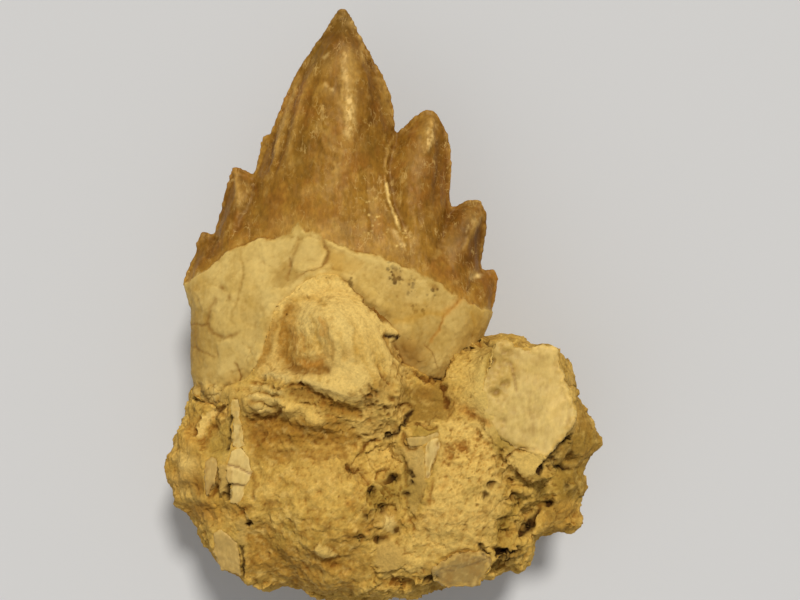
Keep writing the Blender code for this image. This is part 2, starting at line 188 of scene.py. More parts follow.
def inside(spots, outline):
    """True where the spot lies inside the closed outline."""
    outline = np.array(outline, float)
    hit = np.zeros(len(spots), bool)
    for (x1, y1), (x2, y2) in zip(outline, np.roll(outline, -1, axis=0)):
        crosses = (y1 > spots[:, 1]) != (y2 > spots[:, 1])
        if y1 != y2:
            hit ^= crosses & (spots[:, 0] < (x2 - x1) * (spots[:, 1] - y1) / (y2 - y1) + x1)
    return hit


def patch_depth(spots, outline):
    """Distance in pixels inside the outline, negative outside it."""
    gap, _ = line_distance(spots, [*outline, outline[0]])
    return np.where(inside(spots, outline), gap, -gap)


def blob(spots, centre, reach, turn=0.0):
    """1 in the middle of a soft spot, falling to 0 at about its reach (across, down) in pixels."""
    angle = math.radians(turn)
    off = spots - np.array(centre, float)
    across = off[:, 0] * math.cos(angle) + off[:, 1] * math.sin(angle)
    down = -off[:, 0] * math.sin(angle) + off[:, 1] * math.cos(angle)
    return np.exp(-(across / reach[0]) ** 2 - (down / reach[1]) ** 2)


# ---------------------------------------------------------------- a piece being sculpted

def read_out(items, key, width, kind=np.float32):
    """One property of all items of a mesh, as rows of an array."""
    values = np.empty(len(items) * width, kind)
    items.foreach_get(key, values)
    return values.reshape(-1, width)


def face_height(face, across, along):
    """Height in millimetres of a surface's top at a place, or None beside it."""
    found = face.ray_cast(Vector((across, along, ABOVE)), Vector((0, 0, -1)))[0]
    return None if found is None else found.z


class Sculpt:
    """A fine copy of some solids, with its points, normals and paint held as arrays."""

    def __init__(self, nodes, name, voxel, mesh=None, film=None):
        self.nodes = nodes
        if mesh is None:
            mesh = bpy.data.meshes.new(name)
            joined = bmesh.new()
            for node in nodes:
                joined.from_mesh(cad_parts[node].data)
            if film:
                joined.from_mesh(film)
            joined.to_mesh(mesh)
            joined.free()
        self.piece = bpy.data.objects.new(name, mesh)
        bpy.context.scene.collection.objects.link(self.piece)
        self.fuse(voxel)

    def fuse(self, voxel):
        """Remeshes the piece evenly, as one closed skin."""
        fuse = self.piece.modifiers.new("Fuse", "REMESH")
        fuse.mode = "VOXEL"
        fuse.voxel_size = voxel * MM
        graph = bpy.context.evaluated_depsgraph_get()
        fused = bpy.data.meshes.new_from_object(self.piece.evaluated_get(graph))
        self.piece.modifiers.clear()
        self.piece.data = fused
        fused.materials.clear()
        self.read()

    def refine(self, cuts, steepest, outline):
        """Cuts up the grid of whatever faces up inside the outline, for the finest detail."""
        bm = bmesh.new()
        bm.from_mesh(self.piece.data)
        middles = np.array([face.calc_center_median() for face in bm.faces]) / MM
        chosen = np.array([face.normal.z > steepest for face in bm.faces])
        chosen &= middles[:, 2] > FACE_LOW
        chosen &= patch_depth(to_view(middles), outline) > -6
        picked = {edge.index for face, cut in zip(bm.faces, chosen) if cut for edge in face.edges}
        edges = [edge for edge in bm.edges if edge.index in picked]
        bmesh.ops.subdivide_edges(bm, edges=edges, cuts=cuts, use_grid_fill=True)
        bm.to_mesh(self.piece.data)
        bm.free()
        self.read()

    def read(self):
        """Takes the points and edges from a new mesh."""
        mesh = self.piece.data
        count = len(mesh.vertices)
        self.points = read_out(mesh.vertices, "co", 3).astype(float) / MM
        self.ends = read_out(mesh.edges, "vertices", 2, np.int32)
        self.degree = np.bincount(self.ends.ravel(), minlength=count).astype(float)
        self.paint = np.ones((count, 3))
        self.gloss = np.zeros(count)
        self.settle()

    def settle(self):
        """Reads the normals again after the points have moved."""
        mesh = self.piece.data
        mesh.vertices.foreach_set("co", (self.points * MM).astype(np.float32).ravel())
        mesh.update()
        self.normals = read_out(mesh.vertex_normals, "vector", 3).astype(float)

    def fbm(self, size, octaves, seed, stretch=(1, 1, 1)):
        """Fractal noise over the piece, drawn out along an axis whose stretch is below 1."""
        return fbm(self.points * stretch, size, octaves, seed)

    def aim(self, wobble):
        """Finds each point's pixel of the view, with a wobble so that no stroke is straight."""
        self.front = ramp(self.normals[:, 2], -0.05, 0.35)
        self.upper = ramp(self.normals[:, 2], 0.0, 0.2)
        waver = np.column_stack([self.fbm(1.6, 3, 31), self.fbm(1.6, 3, 32)])
        slow = np.column_stack([self.fbm(6, 2, 33), self.fbm(6, 2, 34)])
        self.exact = to_view(self.points)
        self.spots = self.exact + wobble * (waver * 1.6 + slow * 1.5)

    def around(self, values):
        """The mean of each point's neighbours."""
        one, other = self.ends.T
        total = (np.bincount(one, values[other], len(values))
                 + np.bincount(other, values[one], len(values)))
        return total / self.degree

    def blurred(self, rounds, weight=1.0):
        """The points, drawn towards their neighbours' mean in so many rounds."""
        points = self.points.copy()
        for _ in range(rounds):
            mean = np.column_stack([self.around(points[:, axis]) for axis in range(3)])
            points += (mean - points) * 0.5 * np.reshape(weight, (-1, 1))
        return points

    def smooth(self, rounds, weight=1.0):
        self.points = self.blurred(rounds, weight)
        self.settle()

    def blunt(self, rounds, most):
        """Draws in thorns that stand out further than a limit from the surface round them."""
        rest = self.blurred(rounds)
        out = ((self.points - rest) * self.normals).sum(axis=1)
        self.points -= self.normals * (np.maximum(out - most, 0) * self.upper)[:, None]
        self.settle()

    def push(self, height):
        """Moves each point along its normal, by millimetres."""
        self.points += self.normals * np.reshape(height, (-1, 1))
        self.settle()

    def within(self, line, reach):
        """The points on the front that lie near a line or outline of the view."""
        line = np.array(line, float)
        low, high = line.min(axis=0) - reach, line.max(axis=0) + reach
        return np.nonzero((self.front > 0) & (self.spots > low).all(axis=1)
                          & (self.spots < high).all(axis=1))[0]

    def stroke(self, line, height, width):
        """A groove (height below 0) or a ridge along a line. Width is in pixels."""
        some = self.within(line, width * 3)
        gap, along = line_distance(self.spots[some], line)
        shape = np.exp(-(gap / width) ** 2) * fading(along, -0.02, 0.15) * self.front[some]
        self.points[some] += self.normals[some] * (height * shape)[:, None]

    def spot(self, centre, reach, height, turn):
        """A pit or a lump of the given reach in pixels."""
        some = self.within([centre], max(reach) * 2.5)
        shape = blob(self.spots[some], centre, reach, turn) * self.front[some]
        height = np.broadcast_to(height, len(self.points))[some]
        self.points[some] += self.normals[some] * (height * shape)[:, None]

    def area(self, outline, soft):
        """How far each point of the front belongs to the outlined area, 0 to 1."""
        some = self.within(outline, soft + 2)
        weight = np.zeros(len(self.points))
        weight[some] = ramp(patch_depth(self.spots[some], outline), -soft, soft) * self.front[some]
        return weight

    def plate(self, outline, lift, flat, soft):
        """Flattens the outlined area to a plane and lifts it by millimetres, as a broken face."""
        weight = self.area(outline, soft) * self.upper
        some = np.nonzero(weight > 0.5)[0]
        if len(some) < 8:
            return
        centre = self.exact[some].mean(axis=0)
        basis = np.column_stack([self.exact - centre, np.ones(len(self.points))])
        fit, *_ = np.linalg.lstsq(basis[some], self.points[some, 2], rcond=None)
        plane = basis @ (fit + [0, 0, lift])
        rise = (plane - self.points[:, 2]) * flat + lift * (1 - flat)
        near = np.nonzero(weight)[0]
        self.points[near, 2] += rise[near] * weight[near]

    def slope(self, outline, edge, drop, reach):
        """Lowers the outlined area towards an edge line, by the drop at the line itself."""
        gap, _ = line_distance(self.exact, edge)
        self.points[:, 2] -= drop * (1 - ramp(gap, 0, reach)) * self.area(outline, 4) * self.upper

    def level(self, outline, plane, soft):
        """Brings an area to a plane: its height in the middle, and its rise across and down."""
        centre = np.mean(outline, axis=0)
        height = plane[0] + (self.exact - centre) @ np.array(plane[1:])
        self.points[:, 2] += (height - self.points[:, 2]) * self.area(outline, soft) * self.upper

    def nudge(self, centre, reach, across, down):
        """Shifts a corner of the piece sideways, by pixels of the view."""
        shift = blob(self.exact, centre, reach) * (CAMERA_MM[2] - self.points[:, 2]) / FOCAL_PIXELS
        self.points[:, 0] += shift * across
        self.points[:, 1] -= shift * down

    def surface(self):
        faces = [list(face.vertices) for face in self.piece.data.polygons]
        return BVHTree.FromPolygons(self.points.tolist(), faces)

    def hone(self, limit, weight):
        """Thins edges below the limit of thickness to keen ones, and returns the thickness."""
        face = self.surface()
        thickness = np.zeros(len(self.points))
        for index, (across, along, height) in enumerate(self.points.tolist()):
            top = face_height(face, across, along)
            base = face.ray_cast(Vector((across, along, BELOW)), Vector((0, 0, 1)))[0]
            if top is None or base is None:
                continue
            thickness[index] = top - base.z
            keen = min(thickness[index] / limit, 1.0) * weight[index] + 1 - weight[index]
            middle = (top + base.z) / 2
            self.points[index, 2] = middle + (height - middle) * keen
            thickness[index] *= keen
        self.settle()
        return thickness

    def colour(self, name, mask):
        """Paints a named colour over what is there, as thickly as the mask says."""
        mask = np.clip(np.reshape(mask, (-1, 1)), 0, 1)
        self.paint = self.paint * (1 - mask) + COLOURS[name] * mask

    def shade_relief(self, rounds, depth, darkest, lightest, mask=1.0):
        """Paints hollows darker, as painted shade, and crests paler, as painted highlight; depth
        is the relief for full effect.
        """
        self.settle()
        relief = ((self.points - self.blurred(rounds)) * self.normals).sum(axis=1) / depth * mask
        self.paint *= np.where(relief[:, None] > 0, 1 + lightest * ramp(relief[:, None], 0, 1),
                               1 - darkest * ramp(-relief[:, None], 0, 1) * [0.75, 1.0, 1.3])

    def finish(self, material, slot):
        """Stores the paint and hands the piece over in place of its node."""
        mesh = self.piece.data
        self.settle()
        paint = np.column_stack([np.clip(self.paint, 0, 1), np.ones(len(self.paint))])
        tint = mesh.attributes.new("tint", "FLOAT_COLOR", "POINT")
        tint.data.foreach_set("color", paint.ravel())
        gloss = mesh.attributes.new("gloss", "FLOAT", "POINT")
        gloss.data.foreach_set("value", self.gloss)
        mesh.shade_smooth()
        mesh.materials.append(material)
        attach(self.piece, "root")
        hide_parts(self.nodes[0])


# ---------------------------------------------------------------- materials

def new_material(name, constants):
    """A material, with the constants on its shader's own sockets."""
    material = bpy.data.materials.new(name)
    material.use_nodes = True
    shader = material.node_tree.nodes["Principled BSDF"]
    for key, value in constants.items():
        shader.inputs[key].default_value = value
    return material, material.node_tree, shader


def add_node(tree, kind, inputs, **settings):
    """A node whose inputs, given in their order or by name, are constants or other outputs."""
    made = tree.nodes.new(kind)
    for key, value in settings.items():
        setattr(made, key, value)
    for key, value in inputs.items() if isinstance(inputs, dict) else enumerate(inputs):
        if isinstance(value, bpy.types.NodeSocket):
            tree.links.new(value, made.inputs[key])
        else:
            made.inputs[key].default_value = value
    return made


def noise_node(tree, scale, detail, roughness, stretch=(1, 1, 1)):
    place = add_node(tree, "ShaderNodeTexCoord", {}).outputs["Object"]
    turn = add_node(tree, "ShaderNodeMapping",
                    {"Vector": place, "Rotation": (0.5, 0.35, 0.1), "Scale": stretch})
    return add_node(tree, "ShaderNodeTexNoise", {
        "Vector": turn.outputs["Vector"], "Scale": scale, "Detail": detail,
        "Roughness": roughness}).outputs["Fac"]


def remap(tree, value, low, high, to_low, to_high):
    return add_node(tree, "ShaderNodeMapRange", [value, low, high, to_low, to_high]).outputs[0]


def attribute(tree, name, output):
    return add_node(tree, "ShaderNodeAttribute", {}, attribute_name=name).outputs[output]


def tinted(tree, factor):
    """The painted colour, made darker or lighter by a factor."""
    tint = attribute(tree, "tint", "Color")
    return add_node(tree, "ShaderNodeVectorMath", {"Vector": tint, "Scale": factor},
                    operation="SCALE").outputs["Vector"]


def bumped(tree, shader, height, strength, distance):
    made = add_node(tree, "ShaderNodeBump",
                    {"Height": height, "Strength": strength, "Distance": distance})
    tree.links.new(made.outputs["Normal"], shader.inputs["Normal"])


def grainy_material(name, grain, darkest, lightest, constants, strength, distance):
    """A rough material, its paint and its bump speckled by one grain of noise."""
    material, tree, shader = new_material(name, constants)
    grain = noise_node(tree, *grain)
    tree.links.new(tinted(tree, remap(tree, grain, 0.3, 0.7, darkest, lightest)),
                   shader.inputs["Base Color"])
    bumped(tree, shader, grain, strength, distance)
    return material


def rock_material():
    return grainy_material("sandy_matrix", (1900.0, 4.0, 0.65), 0.8, 1.16,
                           {"Roughness": 0.86, "Specular IOR Level": 0.14}, 0.9, 0.0002)


def bone_material():
    return grainy_material("fossil_bone", (1300.0, 5.0, 0.6, (1, 0.55, 1)), 0.9, 1.08,
                           {"Roughness": 0.6}, 0.5, 0.00015)


def blend(tree, share, first, second):
    return add_node(tree, "ShaderNodeMix", {0: share, 2: first, 3: second}).outputs[0]


def arithmetic(tree, operation, first, second):
    return add_node(tree, "ShaderNodeMath", [first, second], operation=operation).outputs[0]


def faint_lines(tree, scale, stretch, width):
    """Fine wandering lines where a noise crosses its middle: 1 on the line, 0 off it."""
    noisy = noise_node(tree, scale, 2.0, 0.5, stretch)
    offset = arithmetic(tree, "SUBTRACT", noisy, 0.5)
    return remap(tree, arithmetic(tree, "ABSOLUTE", offset, 0.0), 0.0, width, 1.0, 0.0)


def scratches(tree, share):
    """Where fine lines scuff the enamel: its share, in gapped and patchy lines."""
    lines = arithmetic(tree, "ADD", faint_lines(tree, 520.0, (1, 0.3, 0.6), 0.02),
                       faint_lines(tree, 760.0, (1, 0.75, 1), 0.022))
    gaps = remap(tree, noise_node(tree, 620.0, 1.0, 0.5), 0.44, 0.56, 0.0, 1.0)
    patches = remap(tree, noise_node(tree, 190.0, 2.0, 0.5), 0.4, 0.6, 0.0, 0.5)
    return arithmetic(tree, "MULTIPLY", arithmetic(tree, "MULTIPLY", share, gaps),
                      arithmetic(tree, "MULTIPLY", patches, lines))


def tooth_material():
    material, tree, shader = new_material("enamel_and_root", {
        "Specular Tint": (1.0, 0.8, 0.5, 1.0), "Specular IOR Level": 0.22})
    gloss = attribute(tree, "gloss", "Fac")
    share = remap(tree, gloss, 0.1, 0.4, 0.0, 1.0)
    root_grain = noise_node(tree, 1100.0, 5.0, 0.6)
    enamel_grain = noise_node(tree, 1500.0, 5.0, 0.62, (1, 0.5, 1))
    strength = blend(tree, share, remap(tree, root_grain, 0.3, 0.7, 0.92, 1.07),
                     remap(tree, enamel_grain, 0.3, 0.7, 0.76, 1.2))
    scuffed = add_node(tree, "ShaderNodeMix", {
        0: scratches(tree, share), 6: tinted(tree, strength), 7: SCRATCH_PALE}, data_type="RGBA")
    tree.links.new(scuffed.outputs[2], shader.inputs["Base Color"])
    tree.links.new(remap(tree, gloss, 0.0, 1.0, 0.68, 0.4), shader.inputs["Roughness"])
    bumped(tree, shader, blend(tree, share, root_grain, enamel_grain), 0.3, 0.0001)
    return material


# ---------------------------------------------------------------- the tooth

ENAMEL_EDGE = words("""
150,285 187,283 200,275 210,268 222,258 235,248 250,243 265,239 280,238 292,232 297,224 305,232
313,232 322,238 335,244 350,250 360,253 380,256 400,266 418,274 440,285 458,297 470,303 480,309
520,312
""")

# Creases and ridges of the crown: height, width in pixels, colour, strength, line. Dark paint
# along the grooves is painted shade in them, and glint paint is painted highlight.
# a cream line painted as the highlight down the crease to the first right denticle
# main cusp to the first right denticle: the crease darkened as painted shade, with a glint line
# painted as its highlight
# ridges and hollows of the right denticles: pale and glint streaks painted as highlights on the
# first two, and dark paint as shade in the first's hollow and on the second's right side
# the long hollow beside the main cusp's ridge, darkened as painted shade, and the highlight
# painted down that ridge: a pale halo with glints in it
CROWN_STROKES = rows("""
# the carina's parallel lines down the main cusp's left flank
-0.24 2.4 enamel_dark 0.45: 312,55 303,75 297,92 292,110 288,128 284,145 279,162 272,182;
0.2 2.6 enamel_pale 0.55: 305,68 297,84 290,102 285,118 281,135 276,152 270,170;
0.14 2.6 enamel_pale 0.35: 318,60 309,78 303,95 298,112 294,130 290,148 285,166 279,184;
-0.1 3 enamel_dark 0.25: 324,66 315,84 309,102 304,122 300,142 295,162;
-0.3 2 enamel_dark 0.5: 276,132 273,145 270,160 264,176;
# main cusp to the first right denticle
-0.45 6 enamel_dark 0.3: 400,131 396,142 393,155 391,170 392,185 396,200 400,214 406,228 412,242;
0.25 1.6 glint 0.8: 386,172 387,183 390,196 393,208 398,220 401,230;
0.25 2 enamel_pale 0.35: 395,136 390,146 387,158 385,170;
# first to second right denticle, and second to third
-0.5 5 enamel_dark 0.3: 451,209 447,222 441,238 437,252;
-0.35 3.6 enamel_dark 0.3: 477,274 472,284 468,294;
# left denticles
-0.5 5 enamel_dark 0.4: 257,178 254,190 248,206 240,222 233,236;
-0.4 4 enamel_dark 0.35: 215,236 211,247 205,260;
0.35 3 enamel_pale 0.55: 235,168 237,182 239,198 238,212;
# ridges and hollows of the right denticles
0.4 4 enamel_pale 0.5: 432,116 431,128 428,142 424,156;
0.1 4 glint 0.65: 433,122 430,136 424,154;
0.1 3 glint 0.3: 481,210 474,222 464,236;
-0.45 4.5 enamel_dark 0.55: 441,135 440,155 438,175 436,195 434,212;
0.2 2.6 enamel_pale 0.3: 447,125 451,145 452,170 450,195;
0.2 3.2 enamel_pale 0.4: 482,210 478,222 470,238 462,254;
-0.2 4 enamel_dark 0.6: 482,225 477,240 471,256 466,268;
# the long hollow beside the main cusp's ridge
-0.35 5 enamel_dark 0.4: 367,55 372,75 374,95 372,115 369,132;
0.25 3.2 enamel_pale 0.28: 378,75 384,95 388,112 391,128;
0.3 7 enamel_pale 0.6: 346,40 348,70 349,100 349,130 348,150;
0.05 3.4 glint 0.45: 343,50 345,66 345,84;
0.08 4.6 glint 0.75: 346,84 349,104 350,122 348,142;
0 2 glint 0.4: 322,80 328,88 338,92;
0 2 glint 0.4: 322,60 328,54 338,52;
0 2.6 enamel_pale 0.5: 358,28 362,40 360,54 364,66;
0 1.4 cream 0.8: 386,178 388,194 392,208 397,221 401,234;
0 5 glint 0.3: 405,224 408,236 410,248;
0.1 3 glint 0.5: 392,226 402,240 408,252;
0.12 2.5 enamel_pale 0.3: 345,18 353,30 362,44;
# vertical folds low on the crown
-0.14 3.2 enamel_dark 0.15: 330,160 332,185 335,210 338,232;
-0.16 3.4 enamel_dark 0.2: 362,160 366,185 370,210 374,236;
-0.14 3 enamel_dark 0.2: 300,170 296,192 292,212 289,230;
-0.14 3 enamel_dark 0.2: 412,180 416,205 422,230 428,254
""")

# Blotches of the crown: centre, reach in pixels, turn, colour, strength. The pale blotches down
# the main cusp's ridge and the glint blotch low on the right, with the pale one under it, are
# painted highlight; the dark ones on the second right denticle are painted shade on its right
# side.
CROWN_BLOTCHES = rows("""
439,182 8,30 0 enamel_red 0.5; 468,250 6,18 0 enamel_red 0.5; 235,195 22,30 0 enamel_dark 0.3;
205,255 18,22 0 enamel_dark 0.25; 470,235 26,32 0 enamel_dark 0.6; 430,165 26,55 0 enamel_dark 0.2;
343,30 30,34 0 enamel_dark 0.75; 380,110 16,44 -8 enamel_dark 0.3; 335,200 60,26 0 amber 0.18;
400,235 40,20 10 amber 0.2; 343,22 16,14 0 enamel_grey 0.55; 318,55 12,22 20 enamel_grey 0.6;
305,150 16,30 10 enamel_grey 0.5; 372,100 8,34 -6 enamel_dark 0.3;
366,148 14,12 0 enamel_grey 0.55; 425,135 6,16 14 enamel_pale 0.35;
416,160 10,14 0 enamel_pale 0.28; 290,226 20,10 0 enamel_pale 0.4; 330,232 24,8 8 enamel_pale 0.35;
395,245 14,12 0 enamel_pale 0.3; 330,66 12,8 -30 enamel_pale 0.3; 326,92 10,5 20 enamel_pale 0.35;
308,192 12,5 -10 enamel_pale 0.35; 334,180 4,10 20 enamel_pale 0.35;
348,105 6,40 0 enamel_pale 0.3; 348,60 8,14 0 enamel_pale 0.3; 468,262 8,8 0 enamel_dark 0.4;
474,274 5,4 0 enamel_pale 0.6; 243,200 7,16 -10 enamel_pale 0.25; 205,250 10,14 0 enamel_dark 0.25;
230,190 5,22 12 enamel_dark 0.3; 262,215 10,16 0 enamel_grey 0.4; 472,236 26,40 0 enamel_dark 0.35;
428,150 24,40 0 enamel_dark 0.2; 477,276 5,1.8 -20 glint 1; 450,245 9,14 0 enamel_pale 0.2;
472,214 7,7 0 enamel_pale 0.25
""")

# Cracks of the root: height, width in pixels, colour, strength, line.
# painted shade on the root beside the knob's right edge
ROOT_STROKES = rows("""
-0.13 2 stain 0.5: 217,299 210,310 207,322 212,333 224,338 236,334;
-0.12 1.2 stain 0.5: 191,324 200,325 208,324;
-0.2 2.4 stain 0.45: 299,244 294,256 291,268 288,278;
-0.22 2.4 stain 0.5: 322,240 328,250 327,262 320,269 308,273 299,277;
-0.14 1.5 orange 0.6: 463,297 452,308 445,314 440,328 430,342;
0 4 orange 0.45: 461,299 452,307 445,313;
-0.08 3 amber 0.6: 442,314 426,314 408,320 396,322;
-0.08 1.6 root_tan 0.5: 240,250 243,275 238,296 232,320;
0.12 4.5 root_pale 0.5: 262,244 268,262 262,285 266,300;
0.16 3.2 root_pale 0.45: 328,244 352,256 378,262 396,268;
-0.1 1.2 stain 0.35: 191,345 202,352 214,356;
-0.2 1.4 stain 0.6: 234,363 241,372 240,384;
-0.3 2.4 stain 0.6: 394,342 397,352 404,362 413,370 428,377 440,379;
-0.12 1.6 stain 0.45: 424,345 432,355 436,366;
-0.1 1.4 amber 0.5: 470,312 474,326 472,340;
-0.5 1.6 dirt 1: 408,366 416,374 425,379 440,379;
-0.5 1.8 dirt 0.6: 440,379 445,388 446,400
""")

# Blotches of the root: centre, reach in pixels, turn, colour, strength. The brown ones beside the
# knob's right edge are painted shade on the root there.
ROOT_BLOTCHES = rows("""
440,305 50,30 20 root_tan 0.3; 215,270 20,10 -30 root_pale 0.5; 222,310 10,22 0 root_pale 0.5;
250,300 12,20 10 amber 0.22; 275,300 12,14 -20 root_pale 0.5; 350,268 24,8 15 root_pale 0.4;
205,365 14,20 0 root_tan 0.4; 240,375 14,8 0 amber 0.25; 194,330 6,34 0 rock_brown 0.4;
365,275 20,8 25 amber 0.25; 258,262 20,24 20 root_pale 0.75; 310,252 14,12 20 root_pale 0.6;
282,272 7,13 25 root_tan 0.7; 335,262 12,18 -30 amber 0.45; 345,285 16,8 40 root_tan 0.5;
370,288 18,16 0 root 0.5; 395,262 18,6 25 root_pale 0.5; 424,396 20,16 0 rock_olive 0.9;
395,274 7,8 0 stain 0.3; 411,294 5,12 0 stain 0.3; 433,287 4,3 20 stain 0.6;
470,325 12,14 0 root_tan 0.4; 222,288 2.5,3 0 stain 0.8; 230,297 2,3 0 stain 0.7;
398,310 20,14 0 root_tan 0.35; 420,312 22,10 0 amber 0.4; 425,335 22,16 0 root_tan 0.5;
462,325 16,16 0 root_tan 0.5; 414,358 14,16 30 stain 0.65; 408,345 8,10 0 stain 0.4;
455,330 10,14 0 root_pale 0.3; 480,320 10,20 0 amber 0.35; 205,300 12,30 0 root_tan 0.35;
200,345 10,30 0 root_tan 0.45; 235,330 18,22 0 root 0.6; 225,365 16,14 0 root_pale 0.45;
206,391 3,2.6 0 dirt 0.8; 402,348 7,12 -20 stain 0.45; 250,345 12,16 20 root_pale 0.45;
196,290 10,8 0 amber 0.4
""")


# Clusters of dark specks on the root: centre, reach in pixels.
ROOT_SPECKS = rows("""
396,277 6,9; 412,294 4,13; 431,290 6,5; 398,263 8,3; 391,269 4,4; 430,303 4,4; 350,282 5,4;
420,312 6,3
""")

# Flakes of the root's surface: lift, flatness, colour, strength, outline. The pale first two and
# the tan third paint the lit and the shaded faces of a raised flap, besides their lifts.
ROOT_PLATES = rows("""
0.14 0.4 root_pale 0.6: 262,243 296,236 300,246 290,258 276,268 264,262;
0.28 0.5 root_pale 0.45: 297,242 310,236 322,241 327,252 322,266 306,272 294,268 291,256;
-0.14 0.4 root_tan 0.5: 284,268 300,272 296,284 282,290 270,284 276,274;
-0.14 0.4 amber 0.35: 330,246 350,254 366,262 352,276 334,270 328,258;
0.14 0.4 root_pale 0.45: 196,292 214,286 230,294 220,311 204,312;
-0.06 0.4 root_tan 0.15: 240,298 260,293 267,312 255,330 240,322;
0.14 0.4 root_pale 0.4: 216,342 236,338 250,350 243,368 222,372;
0.1 0.4 root_pale 0.35: 400,282 420,280 436,292 428,306 408,304;
0.1 0.4 root_pale 0.35: 446,300 462,306 468,322 456,334 444,324
""")

# Inside this outline the root shows. Its lower side is the edge of the rock, from left to right.
ROOT_SHOWS = words("""
170,394 184,392 196,393 206,396 214,396 223,391 232,388 240,382 249,378 255,371 260,362 265,350
268,339 270,328 275,316 281,306 289,297 299,288 311,281 324,277 336,277 345,284 358,296 371,306
383,318 392,328 400,335 392,343 396,351 402,360 412,367 420,374 430,379 440,380 445,371 450,361
461,353 474,346 486,340 500,332 500,200 170,200
""")

# Where the root's face rises to meet the rock: centre, reach in pixels, rise, turn.
ROOT_RISES = rows("""
290,290 26,12 1 -35; 268,325 10,26 1 12; 325,274 22,8 0.9 10; 258,360 10,16 1.2 25;
215,392 30,7 0.8 0; 378,300 30,10 1.2 40; 408,340 12,22 1.4 -12; 425,360 16,12 1 20
""")


def sculpt_tooth():
    """The tooth with keen edges and a drawn out tip, and how thick it is at each point."""
    tooth = Sculpt(["tooth"], "tooth_fine", TOOTH_VOXEL)
    broad = ramp(np.abs(tooth.normals[:, 2]), 0.25, 0.75)
    tooth.smooth(31, 0.05 + 0.95 * broad)
    tooth.refine(1, -0.3, ROOT_SHOWS[:-2] + [(640, 300), (640, -40), (120, -40), (120, 300)])
    # the remeshing blunts the tip, so it is drawn out again here and thinned below
    tooth.points[:, 1] += 0.7 * ramp(tooth.points[:, 1], 55.0, 58.4)
    tooth.settle()
    tooth.aim(0.8)
    crown_side = np.interp(tooth.exact[:, 0], *np.array(ENAMEL_EDGE, float).T) - tooth.exact[:, 1]
    thickness = tooth.hone(5.0, ramp(crown_side, -4.0, 10.0))
    tooth.smooth(4)
    tip = 1 - 0.33 * (np.clip(80 - tooth.exact[:, 1], 0, 74) / 70) ** 1.4
    middle = from_view(TIP_MIDDLE, 0, tooth.points[:, 2])[0]
    tooth.points[:, 0] = middle + (tooth.points[:, 0] - middle) * tip
    tooth.aim(0.8)
    tooth.front = ramp(np.abs(tooth.normals[:, 2]), 0.12, 0.5)
    return tooth, thickness


